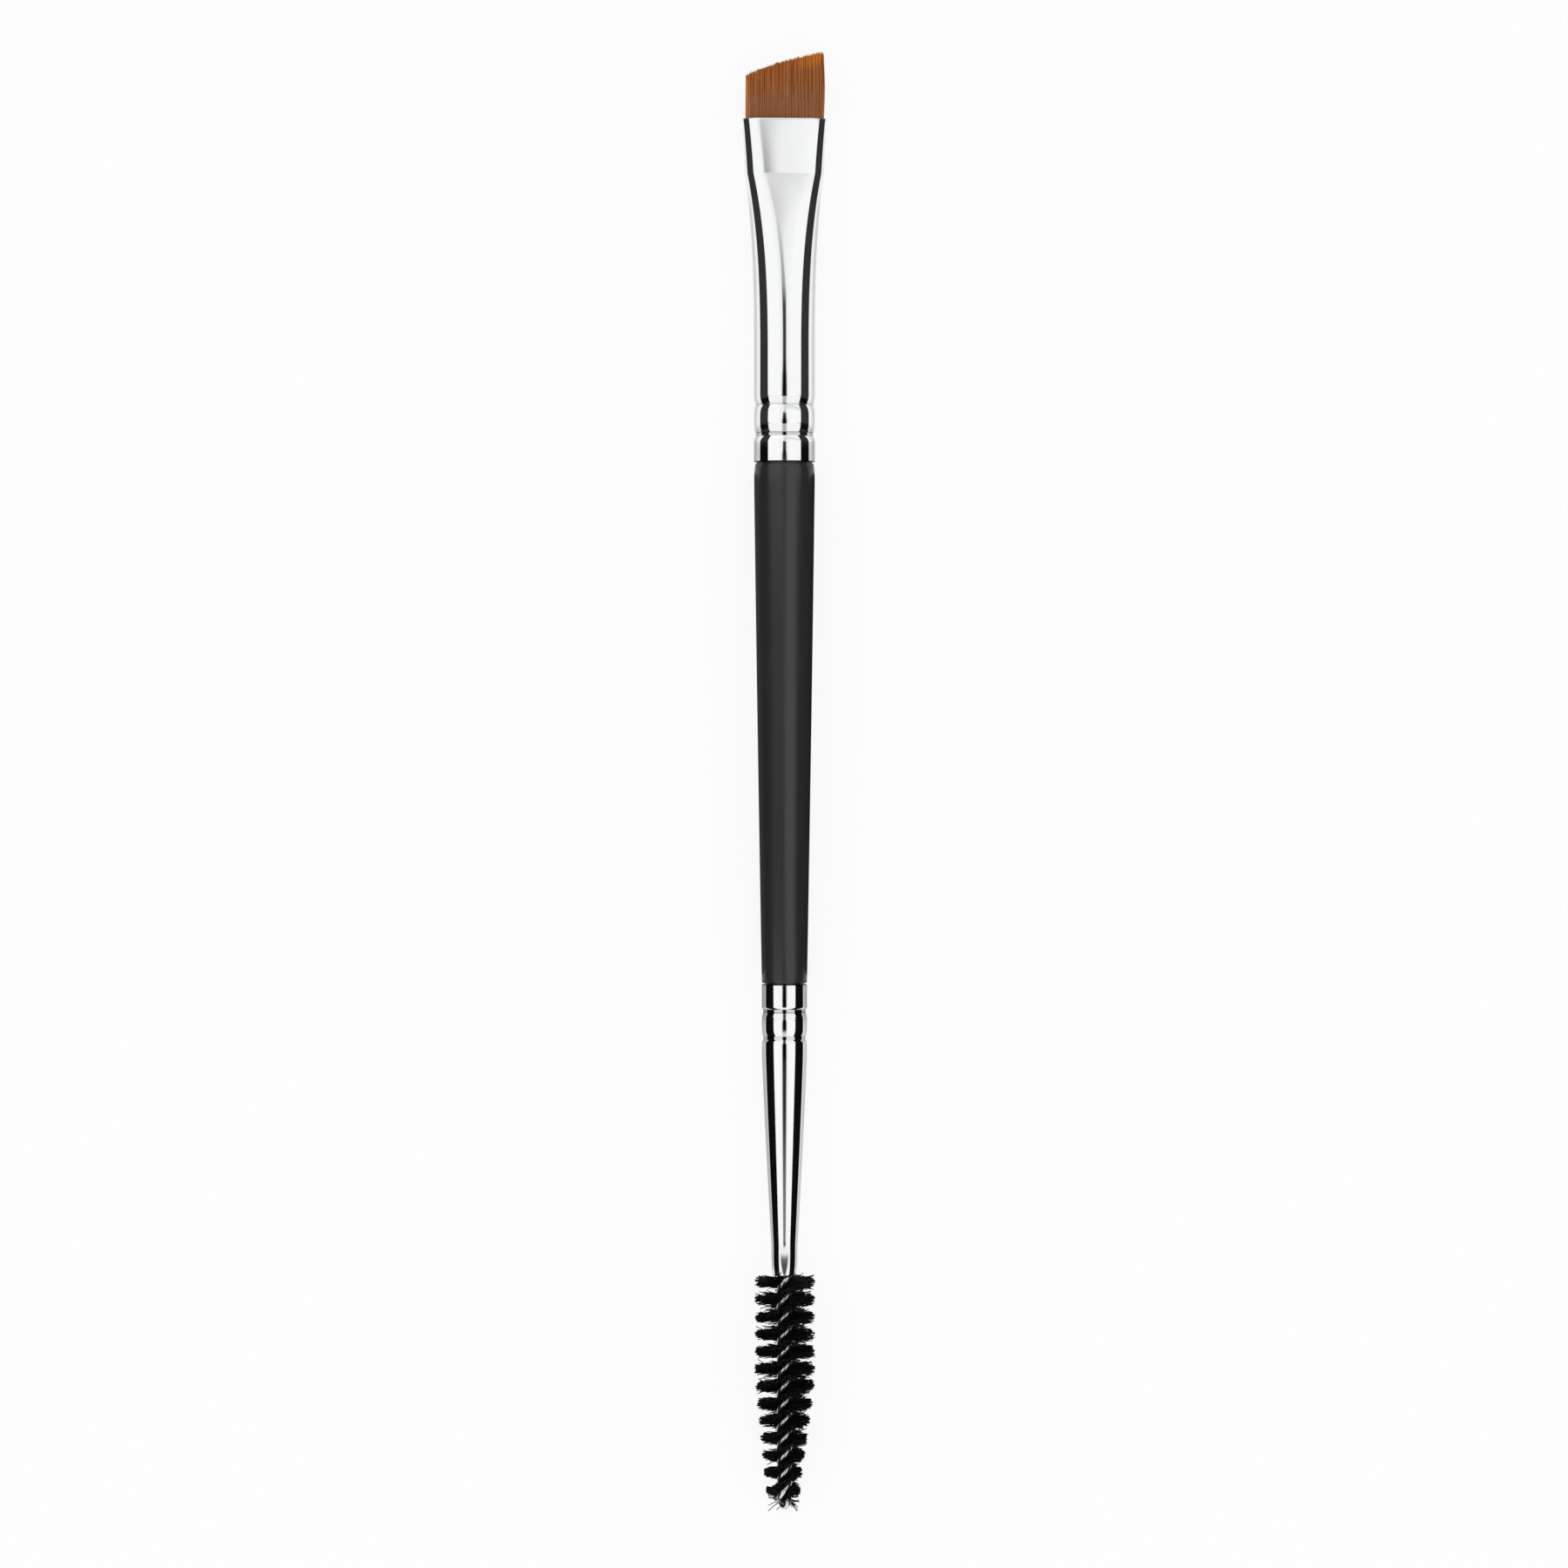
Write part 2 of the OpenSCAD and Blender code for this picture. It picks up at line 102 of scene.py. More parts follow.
# Painted shade: the metal's colour darkened where the band, the groove, the barrel and the second
# groove end
SHADE_LINE_W = 0.07 * MM
GROOVE_SHADE = (0.5, 1.0, 0.55, 0.4)
# Painted shade: a dark line in the metal's colour that ends a ferrule at the wood, and the rings
# that it needs
END_SHADE = 1.12
END_SHADE_W = 0.1 * MM
END_SHADE_TO = 1.4 * END_SHADE_W
END_RINGS = [0, END_SHADE_W, END_SHADE_TO, 0.7 * MM]

# Tapered ferrule
THIN_SIDES = 112
THIN_RIM_ROUND = 0.06 * MM
THIN_R = 2.7 * MM
NECK_R = 1.56 * MM
NOSE_R = 1.29 * MM
STRAIGHT_L = 8 * MM
NECK_L = 0.7 * MM
NOSE_L = 2.9 * MM
DRAW_CURVE = 1.15

# Handle
HANDLE_SIDES = 96
HANDLE_TOP_R = 3.625 * MM
HANDLE_END_R = 2.71 * MM
BELLY = 0.04 * MM
SHOULDER_L = 2.2 * MM
SHOULDER_IN = 0.21 * MM
END_ROUND = 0.4 * MM
SHOULDER_GAP = 0.15 * MM
TENON_L = 12 * MM
THIN_TENON_L = 10.5 * MM
TENON_FIT = 0.03 * MM

# Tuft
TUFT_LONG = 7.75 * MM
TUFT_SHORT = 5.05 * MM
CUT_BOW = 0.27 * MM
TUFT_HALF_W = 4.68 * MM
TUFT_HALF_T = 1.42 * MM
TUFT_TIP_HALF_T = 0.62 * MM
# How far the outer hairs belly out, on the right and on the left
SWELL_RIGHT = 0.12 * MM
SWELL_LEFT = 0.02 * MM

# Its hairs, and how unevenly they stand, lean and are cut
TUFT_LEVELS = 8
HAIR_R = 0.058 * MM
HAIR_SPACING = 0.128 * MM
HAIR_ROW_SPACING = 0.87 * HAIR_SPACING
ROOT_DEEP = 4 * MM
HAIR_JITTER = 0.3 * HAIR_SPACING
HAIR_LEAN = 0.02 * MM
HAIR_CUT = 0.14 * MM

# Its locks: their width, columns that they shift by in each mm of depth, their layers, and how
# they gather, lean and differ in their cut
LOCK_W = 0.42 * MM
LOCK_SHIFT = 0.35
LOCK_LAYERS = 9
LOCK_GATHER = 0.1
LOCK_LEAN = 0.04 * MM
LOCK_CUT = 0.09 * MM

# Its streaks: their width, weakest and strongest tone of each in turn, dark below 0 and light
# above it, and the least and most of the height at which they start
STREAK_W = 0.145 * MM
STREAK_TONES = ((-1, -0.35), (-0.1, 0.35), (0, 0.7))
STREAK_STARTS = (0.2, 0.6)

# Twisted wire, with its angle in degrees
WIRE_R = 0.425 * MM
STRAND_R = 0.515 * MM
PITCH = 4.14 * MM
FIRST_ROW = 0.7 * MM
TIP_TURN = 12
TIP_TURN_L = 0.5 * MM
STEM_L = 12 * MM
WIRE_STEPS = 26
Y_HAIRPIN = Y_TIP + STRAND_R + WIRE_R

# Spoolie bristles, which lie in two lanes between the strands
SPOOL_R = 3.6 * MM
SPOOL_TIP_R = 1.85 * MM
SPOOL_TAPER_L = 15 * MM
FILAMENT_R = 0.05 * MM
FILAMENTS = 2700
ARM_LEVELS = 4
LANE = 0.04 * MM
# Degrees that they spread about the wire, lean on with the twist, tilt along it and bend
ROW_SPREAD = 22
ROW_LEAN = 8
ROW_TILT = 7
ROW_BEND = 3
# The same near the tip, where they stand out all round: spread, middle and spread of the tilt
TIP_SPREAD = 45
TIP_TILT = (-9, 17)
TIP_LEFT_OUT = 0.1
TIP_UPRIGHT_SHARE = 0.35
# Clumps: filaments in each, and degrees that they turn and tilt together
CLUMP_COUNT = (5, 14)
CLUMP_TURN = 7
CLUMP_TILT = 1.2
# Loose filaments: how many, how much further they spread, and degrees that they tilt more
LOOSE_SHARE = 0.035
LOOSE_SPREAD = 1.6
LOOSE_TILT = (7, 15)
# Ragged ends: how unevenly they are cut, how many are short, and the share that those keep
RAGGED = 0.04
SHORT_SHARE = 0.12
SHORT_LENGTH = (0.8, 0.95)

random.seed(7)


def mix(a, b, share):
    """The value that lies this share of the way from a to b."""
    return a + (b - a) * share


def smooth(low, high, x):
    """A soft step from 0 at low to 1 at high."""
    t = min(1.0, max(0.0, (x - low) / (high - low)))
    return t * t * (3 - 2 * t)


def steps(start, end, count):
    """Evenly spaced places from start to end, both included."""
    return [mix(start, end, i / count) for i in range(count + 1)]


def uneven(most):
    """A random amount of up to this much, to either side of nothing."""
    return random.uniform(-most, most)


# Camera: a long lens straight above, level with the photograph's frame
FRAME_WIDTH = 187.2 * MM
CAMERA_AWAY = 1.0
CAMERA_X = -0.052 * MM
CAMERA_Y = -0.304 * MM
SENSOR_MM = 36


def add_camera():
    bpy.ops.object.camera_add(location=(CAMERA_X, CAMERA_Y, AXIS_Z + CAMERA_AWAY))
    camera = bpy.context.object
    camera.data.sensor_width = SENSOR_MM
    camera.data.lens = SENSOR_MM * CAMERA_AWAY / FRAME_WIDTH
    camera.data.clip_start = 0.01
    camera.data.clip_end = 50
    bpy.context.scene.camera = camera
    bpy.context.scene.view_settings.view_transform = "Standard"


# Shader maths: sockets that take part in Python expressions


class Signal:
    """An output of a shader node. Arithmetic on it adds Math nodes."""

    def __init__(self, finish, socket):
        self.finish = finish
        self.socket = socket

    def math(self, operation, *values):
        return self.finish.node("ShaderNodeMath", {"operation": operation}, dict(enumerate(values)))

    def __add__(self, other):
        return self.math("ADD", self, other)

    def __radd__(self, other):
        return self.math("ADD", other, self)

    def __sub__(self, other):
        return self.math("SUBTRACT", self, other)

    def __rsub__(self, other):
        return self.math("SUBTRACT", other, self)

    def __mul__(self, other):
        return self.math("MULTIPLY", self, other)

    def __rmul__(self, other):
        return self.math("MULTIPLY", other, self)

    def __truediv__(self, other):
        return self.math("DIVIDE", self, other)

    def __abs__(self):
        return self.math("ABSOLUTE", self)

    def at_least(self, other):
        return self.math("MAXIMUM", self, other)

    def step(self, low, high):
        """A soft step of this value from 0 at low to 1 at high."""
        return self.finish.node(
            "ShaderNodeMapRange",
            {"interpolation_type": "SMOOTHSTEP"},
            {"Value": self, "From Min": low, "From Max": high},
        )


class Finish:
    """A material of procedural nodes."""

    def __init__(self, name):
        self.material = bpy.data.materials.new(name)
        self.material.use_nodes = True
        self.tree = self.material.node_tree
        self.tree.nodes.clear()
        self.output = self.tree.nodes.new("ShaderNodeOutputMaterial")

    def node(self, kind, settings=None, inputs=None, out=0):
        """Adds a node: its settings first, then its sockets. Returns one of its outputs."""
        made = self.tree.nodes.new(kind)
        for name, value in (settings or {}).items():
            setattr(made, name, value)
        for key, value in (inputs or {}).items():
            self.feed(self.socket(made.inputs, key), value)
        return Signal(self, self.socket(made.outputs, out))

    @staticmethod
    def socket(sockets, key):
        """A socket by its place, or by its name among those that the settings leave in use."""
        if isinstance(key, int):
            return [s for s in sockets if s.enabled][key]
        return [s for s in sockets if s.enabled and s.name == key][0]

    def feed(self, socket, value):
        if isinstance(value, Signal):
            self.tree.links.new(value.socket, socket)
        elif isinstance(value, tuple) and len(value) == 3 and socket.type == "RGBA":
            socket.default_value = (*value, 1)
        else:
            socket.default_value = value

    def place(self):
        return self.node("ShaderNodeTexCoord", out="Object")

    def axis(self, vector, name):
        return self.node("ShaderNodeSeparateXYZ", None, {0: vector}, out=name)

    def scaled(self, vector, scale):
        return self.node("ShaderNodeMapping", None, {"Vector": vector, "Scale": scale})

    def noise(self, vector, scale, detail):
        return self.node(
            "ShaderNodeTexNoise", None, {"Vector": vector, "Scale": scale, "Detail": detail}
        )

    def blend(self, a, b, share):
        return self.node(
            "ShaderNodeMix", {"data_type": "RGBA"}, {"Factor": share, "A": a, "B": b}
        )

    def tone(self, colour, factor):
        """A colour made lighter or darker by a factor."""
        return self.node(
            "ShaderNodeVectorMath", {"operation": "SCALE"}, {0: colour, "Scale": factor}
        )

    def attribute(self, name):
        return self.node("ShaderNodeAttribute", {"attribute_name": name}, out="Fac")

    def bump(self, height, strength, distance):
        return self.node(
            "ShaderNodeBump", None, {"Height": height, "Strength": strength, "Distance": distance}
        )

    def surface(self, **inputs):
        """The main shader, with sockets named as in Blender but with _ for a space."""
        shader = self.tree.nodes.new("ShaderNodeBsdfPrincipled")
        for name, value in inputs.items():
            self.feed(shader.inputs[name.replace("_", " ")], value)
        self.tree.links.new(shader.outputs[0], self.output.inputs[0])
        return self.material


# Finishes of the brush


def plated_metal():
    """Bright plating: faint turning lines, a soft haze, and painted shade that darkens its colour
    at the groove ends and at the wood.
    """
    f = Finish("plated_metal")
    place = f.place()
    lines = f.noise(f.scaled(place, (150, 9000, 150)), 1.0, 2.0)
    haze = f.noise(place, 260, 3.0)
    rough = 0.03 + 0.05 * haze * haze + 0.025 * lines
    colour = f.blend((0.91, 0.915, 0.92), (0.87, 0.875, 0.885), haze)
    return f.surface(
        # Painted shade: the colour is darkened at the groove ends and at the wood
        Base_Color=f.tone(colour, 1 - 0.85 * f.attribute("painted_shade")),
        Metallic=1.0,
        Roughness=rough,
        Normal=f.bump(lines, 0.05, 0.004 * MM),
    )


def black_lacquer():
    """Satin black lacquer over turned wood: fine grain runs along it under the film."""
    f = Finish("black_lacquer")
    place = f.place()
    grain = f.noise(f.scaled(place, (2600, 130, 2600)), 1.0, 3.0)
    film = f.noise(place, 1500, 2.0)
    cloud = f.noise(place, 120, 2.0)
    colour = f.blend((0.016, 0.016, 0.0164), (0.021, 0.021, 0.0214), grain)
    return f.surface(
        Base_Color=colour,
        Roughness=0.19 + 0.06 * cloud + 0.05 * grain,
        Specular_IOR_Level=0.5,
        Normal=f.bump(0.7 * film + 0.3 * grain, 0.15, 0.01 * MM),
    )


def tuft_hair():
    """Brown hair: each hair has its own tone, streaks dark half way up and golden at the tip."""
    f = Finish("tuft_hair")
    along = f.attribute("along")
    tone = f.attribute("tone")
    lock = f.attribute("lock")
    side = f.attribute("side")
    edge = f.attribute("edge")
    streak = f.attribute("streak")
    start = f.attribute("start")
    base = f.blend((0.3, 0.116, 0.05), (0.34, 0.135, 0.058), tone)
    upper = f.blend((0.25, 0.07, 0.016), (0.46, 0.156, 0.036), 0.2 + 0.4 * tone + 0.2 * lock)
    body = f.blend(base, upper, along.step(0.25, 0.7))
    body = f.blend(body, (0.6, 0.19, 0.05), 0.3 * edge)
    shown = along.step(start, start + 0.14)
    dark = shown * (0 - streak).at_least(0)
    body = f.blend(body, (0.17, 0.046, 0.011), 0.75 * dark)
    body = f.blend(body, (0.56, 0.23, 0.08), 0.55 * shown * streak.at_least(0))
    golden = f.blend((0.5, 0.15, 0.02), (0.78, 0.26, 0.018), side)
    ripe = along.step(0.76, 0.97) * (0.3 + 0.5 * tone + 0.2 * side) * (1 - 0.65 * dark)
    tips = f.blend(body, golden, ripe)
    fine = f.noise(f.scaled(f.place(), (9000, 700, 9000)), 1.0, 2.0)
    return f.surface(
        Base_Color=f.tone(tips, 0.88 + 0.24 * fine),
        Roughness=0.5 + 0.15 * fine,
        Specular_IOR_Level=0.12,
        Normal=f.bump(fine, 0.2, 0.004 * MM),
    )


def bristle_nylon():
    """Black nylon, a little lighter and duller at the cut ends."""
    f = Finish("bristle_nylon")
    along = f.attribute("along")
    tone = f.attribute("tone")
    colour = f.blend((0.002, 0.002, 0.0021), (0.006, 0.006, 0.0064), tone)
    ends = f.blend(colour, (0.012, 0.012, 0.0125), along.step(0.97, 1.0))
    mottle = f.noise(f.place(), 4000, 2.0)
    return f.surface(
        Base_Color=ends,
        Roughness=0.42 + 0.2 * mottle,
        Specular_IOR_Level=0.12,
        Normal=f.bump(mottle, 0.15, 0.004 * MM),
    )


def drawn_wire():
    """Bright steel wire with fine drawing marks and darker patches here and there."""
    f = Finish("drawn_wire")
    place = f.place()
    marks = f.noise(f.scaled(place, (9000, 5000, 9000)), 1.0, 3.0)
    haze = f.noise(place, 900, 2.0)
    return f.surface(
        Base_Color=f.blend((0.78, 0.78, 0.8), (0.56, 0.56, 0.58), haze),
        Metallic=1.0,
        Roughness=0.17 + 0.12 * marks,
        Normal=f.bump(marks, 0.25, 0.006 * MM),
    )


def amber_glue():
    """Hardened resin with small bubbles."""
    f = Finish("amber_glue")
    place = f.place()
    cloud = f.noise(place, 700, 3.0)
    bubbles = f.node("ShaderNodeTexVoronoi", None, {"Vector": place, "Scale": 2200}, out="Distance")
    return f.surface(
        Base_Color=f.blend((0.5, 0.33, 0.12), (0.78, 0.62, 0.34), cloud),
        Roughness=0.25 + 0.3 * cloud,
        Normal=f.bump(bubbles, 0.3, 0.02 * MM),
    )


# Ways of making a piece


def deselect():
    if bpy.context.object and bpy.context.object.mode != "OBJECT":
        bpy.ops.object.mode_set(mode="OBJECT")
    bpy.ops.object.select_all(action="DESELECT")


def settle(obj):
    """Puts a piece's place into its mesh, with its object at the origin."""
    deselect()
    obj.select_set(True)
    bpy.context.view_layer.objects.active = obj
    bpy.ops.object.transform_apply(location=True, rotation=True, scale=True)


def smooth_shade(obj, angle=40):
    deselect()
    obj.select_set(True)
    bpy.context.view_layer.objects.active = obj
    bpy.ops.object.shade_smooth_by_angle(angle=math.radians(angle))


def apply_modifier(obj, kind, **settings):
    bpy.context.view_layer.objects.active = obj
    modifier = obj.modifiers.new(kind.lower(), kind)
    for name, value in settings.items():
        setattr(modifier, name, value)
    bpy.ops.object.modifier_apply(modifier=modifier.name)


def grow(factor, y):
    """Scales the selected ring about the axis of the brush."""
    bpy.ops.transform.resize(value=(factor, 1, factor), center_override=(0, y, AXIS_Z))


def turned(name, profile, sides, closed):
    """A ring on the axis of the brush, extruded and scaled along a list of places and radii."""
    deselect()
    y, r = profile[0]
    bpy.ops.mesh.primitive_circle_add(
        vertices=sides, radius=r, location=(0, y, AXIS_Z), rotation=(math.radians(90), 0, 0)
    )
    obj = bpy.context.object
    obj.name = name
    bpy.ops.object.mode_set(mode="EDIT")
    bpy.ops.mesh.select_all(action="SELECT")
    if closed:
        bpy.ops.mesh.edge_face_add()
        bpy.ops.mesh.select_all(action="SELECT")
        bpy.ops.mesh.extrude_region_move(
            TRANSFORM_OT_translate={"value": (0, profile[1][0] - y, 0)}
        )
        grow(profile[1][1] / r, profile[1][0])
        y, r = profile[1]
        profile = profile[1:]
    for y_next, r_next in profile[1:]:
        bpy.ops.mesh.extrude_region_move(TRANSFORM_OT_translate={"value": (0, y_next - y, 0)})
        grow(r_next / r, y_next)
        y, r = y_next, r_next
    bpy.ops.mesh.select_all(action="SELECT")
    bpy.ops.mesh.normals_make_consistent(inside=False)
    bpy.ops.object.mode_set(mode="OBJECT")
    settle(obj)
    return obj


def make_tube(obj, wall, rim):
    """Gives an open skin its wall on the inside, and rounds the edges of both its rims."""
    apply_modifier(obj, "SOLIDIFY", thickness=wall, offset=-1, use_even_offset=True)
    apply_modifier(
        obj,
        "BEVEL",
        width=rim,
        segments=4,
        limit_method="ANGLE",
        angle_limit=math.radians(60),
    )


def finish_piece(obj, material, slot, *nodes):
    """Gives a piece its finish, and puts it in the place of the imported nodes."""
    obj.data.materials.clear()
    obj.data.materials.append(material)
    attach(obj, "root")
    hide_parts(*nodes)


def crimp_marks(crimp):
    """Places where the band, the first groove, the barrel and the second groove end."""
    band_to = crimp["band"]
    barrel_from = band_to + crimp["floor"]
    barrel_to = barrel_from + crimp["barrel"]
    return band_to, barrel_from, barrel_to, barrel_to + crimp["far_floor"]


def crimped(h, crimp):
    """Depth of a crimped end, h from the handle: band, groove, barrel, groove, run-in."""
    band_to, barrel_from, barrel_to, tube_from = crimp_marks(crimp)
    if h < band_to:
        share = max(0.0, 1 - (band_to - h) / crimp["round"]) ** EDGE_POWER
    elif barrel_from < h < barrel_to:
        share = abs(2 * (h - barrel_from) / crimp["barrel"] - 1) ** BARREL_POWER
    elif h > tube_from:
        share = max(0.0, 1 - (h - tube_from) / crimp["run_in"]) ** EDGE_POWER
    else:
        share = 1.0
    return crimp["deep"] * share


def crimp_places(crimp):
    """Places where the outline of a crimped end is drawn, closest at its corners."""
    band_to, barrel_from, barrel_to, tube_from = crimp_marks(crimp)
    places = steps(band_to - crimp["round"], band_to, 8)
    places += steps(barrel_from, barrel_to, 30)
    places += steps(tube_from, tube_from + crimp["run_in"], 8)
    for mark in (band_to, barrel_from, barrel_to, tube_from):
        places += [mark - SHADE_LINE_W / 2, mark + SHADE_LINE_W / 2]
        places += [mark - SHADE_LINE_W / 4, mark + SHADE_LINE_W / 4]
    places = sorted(places)
    apart = 0.01 * MM
    return [b for a, b in zip([0] + places, places) if b - a > apart]


def painted_shade(h, crimp):
    """How much painted shade darkens the metal at a place: most at the wood, and where a groove
    ends.
    """
    share = END_SHADE * (1 - smooth(END_SHADE_W, END_SHADE_TO, h))
    for mark, most in zip(crimp_marks(crimp), GROOVE_SHADE):
        share = max(share, most * (1 - abs(h - mark) / SHADE_LINE_W))
    return share


def paint_shade_lines(obj, crimp, y_start, way):
    """Stores the painted shade of a ferrule that runs this way from the wood."""
    values = [painted_shade(way * (v.co.y - y_start), crimp) for v in obj.data.vertices]
    obj.data.attributes.new("painted_shade", "FLOAT", "POINT").data.foreach_set("value", values)


# Flat ferrule: a round tube that is crimped on the wood and pressed flat at its mouth


def tube_r(h):
    """Outer radius of the round tube, h beyond its handle end."""
    return TUBE_R - crimped(h, TUBE_CRIMP)


def press_curve(facing):
    """Radius of curvature of the pressed outline where it faces this way, in degrees from +Z."""
    facing = (facing + 90) % 180 - 90
    corner = CORNER_RADIUS * math.exp(-(((abs(facing) - CORNER_FACES) / CORNER_SPREAD) ** 2))
    flat = FLAT_RADIUS * math.exp(-(((facing - FLAT_FACES) / FLAT_SPREAD) ** 2))
    return END_RADIUS + corner + flat


def pressed_outline():
    """Points of the pressed outline, one for each small turn of the way it faces."""
    turn = 360 / OUTLINE_STEPS
    x, z, points = 0.0, 0.0, []
    for i in range(OUTLINE_STEPS):
        points.append((x, z))
        facing = math.radians((i + 0.5) * turn)
        step = press_curve((i + 0.5) * turn) * math.radians(turn)
        x += step * math.cos(facing)
        z -= step * math.sin(facing)
    half = OUTLINE_STEPS // 2
    centre_x = (points[0][0] + points[half][0]) / 2
    centre_z = (points[0][1] + points[half][1]) / 2
    points = [(x - centre_x, z - centre_z) for x, z in points]
    widest = max(x for x, z in points)
    scale = PRESS_WIDTH / 2 / widest
    return [(x * scale, z * scale * PRESS_THIN) for x, z in points]


PRESSED = pressed_outline()


def spread_turns(count):
    """Directions that share the way around both the round and the pressed outline evenly."""
    lengths = [0.0]
    for i in range(OUTLINE_STEPS):
        turn = math.radians(360 / OUTLINE_STEPS)
        lengths.append(lengths[-1] + (press_curve(i * 360 / OUTLINE_STEPS) + TUBE_R) * turn)
    turns, i = [], 0
    for j in range(count):
        wanted = lengths[-1] * j / count
        while lengths[i + 1] < wanted:
            i += 1
        turns.append((i + (wanted - lengths[i]) / (lengths[i + 1] - lengths[i])) / OUTLINE_STEPS)
    return turns


def press_share(depth):
    """How far the section is pressed, from 0 where it is round to 1 at the mouth."""
    if depth <= CREASE_AT:
        part = max(0.0, depth / CREASE_AT)
        return 1 - (1 - CREASE_SHARE) * part * (LIP_STEEP - (LIP_STEEP - 1) * part)
    return CREASE_SHARE * max(0.0, 1 - (depth - CREASE_AT) / SWAGE_L) ** SWAGE_CURVE


def press_mouth(obj):
    """Presses the round skin: each point goes where the pressed outline faces the same way."""
    turns = spread_turns(FERRULE_SIDES)
    for vertex in obj.data.vertices:
        x, y, z = vertex.co.x, vertex.co.y, vertex.co.z - AXIS_Z
        r = math.hypot(x, z)
        place = round(math.atan2(x, z) / (2 * math.pi) * FERRULE_SIDES) % FERRULE_SIDES
        turn = turns[place] * 2 * math.pi
        flat_x, flat_z = PRESSED[round(turns[place] * OUTLINE_STEPS) % OUTLINE_STEPS]
        share = press_share(Y_MOUTH - y)
        vertex.co.x = mix(r * math.sin(turn), flat_x, share)
        vertex.co.z = AXIS_Z + mix(r * math.cos(turn), flat_z, share)
    obj.data.update()


def flat_ferrule():
    length = Y_MOUTH - Y_HIGH
    swage_zone = [length - depth for depth in steps(SWAGE_L + CREASE_AT, CREASE_AT + 0.4 * MM, 46)]
    crease_zone = [length - CREASE_AT + offset for offset in CREASE_RINGS]
    mouth_zone = [length - depth for depth in steps(CREASE_AT - 0.5 * MM, 0, 18)]
    heights = END_RINGS + crimp_places(TUBE_CRIMP) + swage_zone + crease_zone + mouth_zone
    profile = [(Y_HIGH + h, tube_r(h)) for h in heights]
    obj = turned("flat_ferrule_shell", profile, FERRULE_SIDES, closed=False)
    press_mouth(obj)
    make_tube(obj, WALL, RIM_ROUND)
    paint_shade_lines(obj, TUBE_CRIMP, Y_HIGH, 1)
    smooth_shade(obj)
    return obj


# Handle: turned wood with a tenon in each ferrule


def handle_r(share):
    """Radius of the wood, this share of the way up from its thin end."""
    return mix(HANDLE_END_R, HANDLE_TOP_R, share) + BELLY * 4 * share * (1 - share)


def handle():
    bottom = Y_LOW + SHOULDER_GAP
    top = Y_HIGH - SHOULDER_GAP
    inset = WALL + TENON_FIT
    body_from = bottom + END_ROUND
    body_to = top - SHOULDER_L
    thin_tenon = [(Y_LOW - h, thin_r(h) - inset) for h in steps(THIN_TENON_L, 0, 36)]
    end_round = []
    for angle in steps(0, math.pi / 2, 8):
        r = handle_r(0) - SHOULDER_IN / 2 * (1 - math.sin(angle))
        end_round.append((body_from - END_ROUND * math.cos(angle), r))
    body = [(mix(body_from, body_to, share), handle_r(share)) for share in steps(0, 1, 40)[1:-1]]
    shoulder = []
    for angle in steps(0, math.pi / 2, 12):
        r = handle_r(1) - SHOULDER_IN * (1 - math.cos(angle))
        shoulder.append((body_to + SHOULDER_L * math.sin(angle), r))
    tenon = [(Y_HIGH + h, tube_r(h) - inset) for h in steps(0, TENON_L, 40)]
    neck = [(bottom, thin_r(0) - inset)]
    top_neck = [(top, tube_r(0) - inset)]
    profile = thin_tenon + neck + end_round + body + shoulder + top_neck + tenon
    obj = turned("handle_wood", profile, HANDLE_SIDES, closed=True)
    smooth_shade(obj, 35)
    return obj


# Tapered ferrule: drawn tube, crimped on the wood, with its nose turned in on the wire


def thin_r(h):
    """Outer radius, h below the handle end."""
    length = Y_LOW - Y_NOSE
    cone_l = length - STRAIGHT_L - NECK_L - NOSE_L
    nose_from = length - NOSE_L
    if h > nose_from:
        turn_in = math.sqrt(max(0.0, 1 - ((h - nose_from) / NOSE_L) ** 2))
        return mix(NOSE_R, NECK_R, turn_in)
    share = min(1.0, max(0.0, (h - STRAIGHT_L) / cone_l))
    r = mix(THIN_R, NECK_R, share**DRAW_CURVE)
    return r - crimped(h, THIN_CRIMP)


def taper_ferrule():
    length = Y_LOW - Y_NOSE
    nose_from = length - NOSE_L
    cone_zone = steps(STRAIGHT_L + 0.3 * MM, nose_from, 30)
    nose_zone = [nose_from + NOSE_L * math.sin(angle) for angle in steps(0.1, math.pi / 2, 12)]
    heights = END_RINGS + crimp_places(THIN_CRIMP) + cone_zone + nose_zone
    profile = [(Y_LOW - h, thin_r(h)) for h in heights]
    obj = turned("taper_ferrule_shell", profile, THIN_SIDES, closed=False)
    make_tube(obj, WALL, THIN_RIM_ROUND)
    paint_shade_lines(obj, THIN_CRIMP, Y_LOW, -1)
    smooth_shade(obj)
    return obj


# Twisted wire


def twist_at(y):
    """Turn of an even twist about the axis at a place."""
    return 2 * math.pi * (y - Y_NOSE + FIRST_ROW) / PITCH


def row_turn(y):
    """Turn of the bristle rows about the axis at a place. The last turn is wrung a little more."""
    near_tip = 1 - smooth(0, TIP_TURN_L, y - Y_HAIRPIN)
    return twist_at(max(y, Y_HAIRPIN)) - math.radians(TIP_TURN) * near_tip


def around(y, r, turn):
    """Point at this distance and turn from the axis of the brush."""
    return (r * math.cos(turn), y, AXIS_Z - r * math.sin(turn))


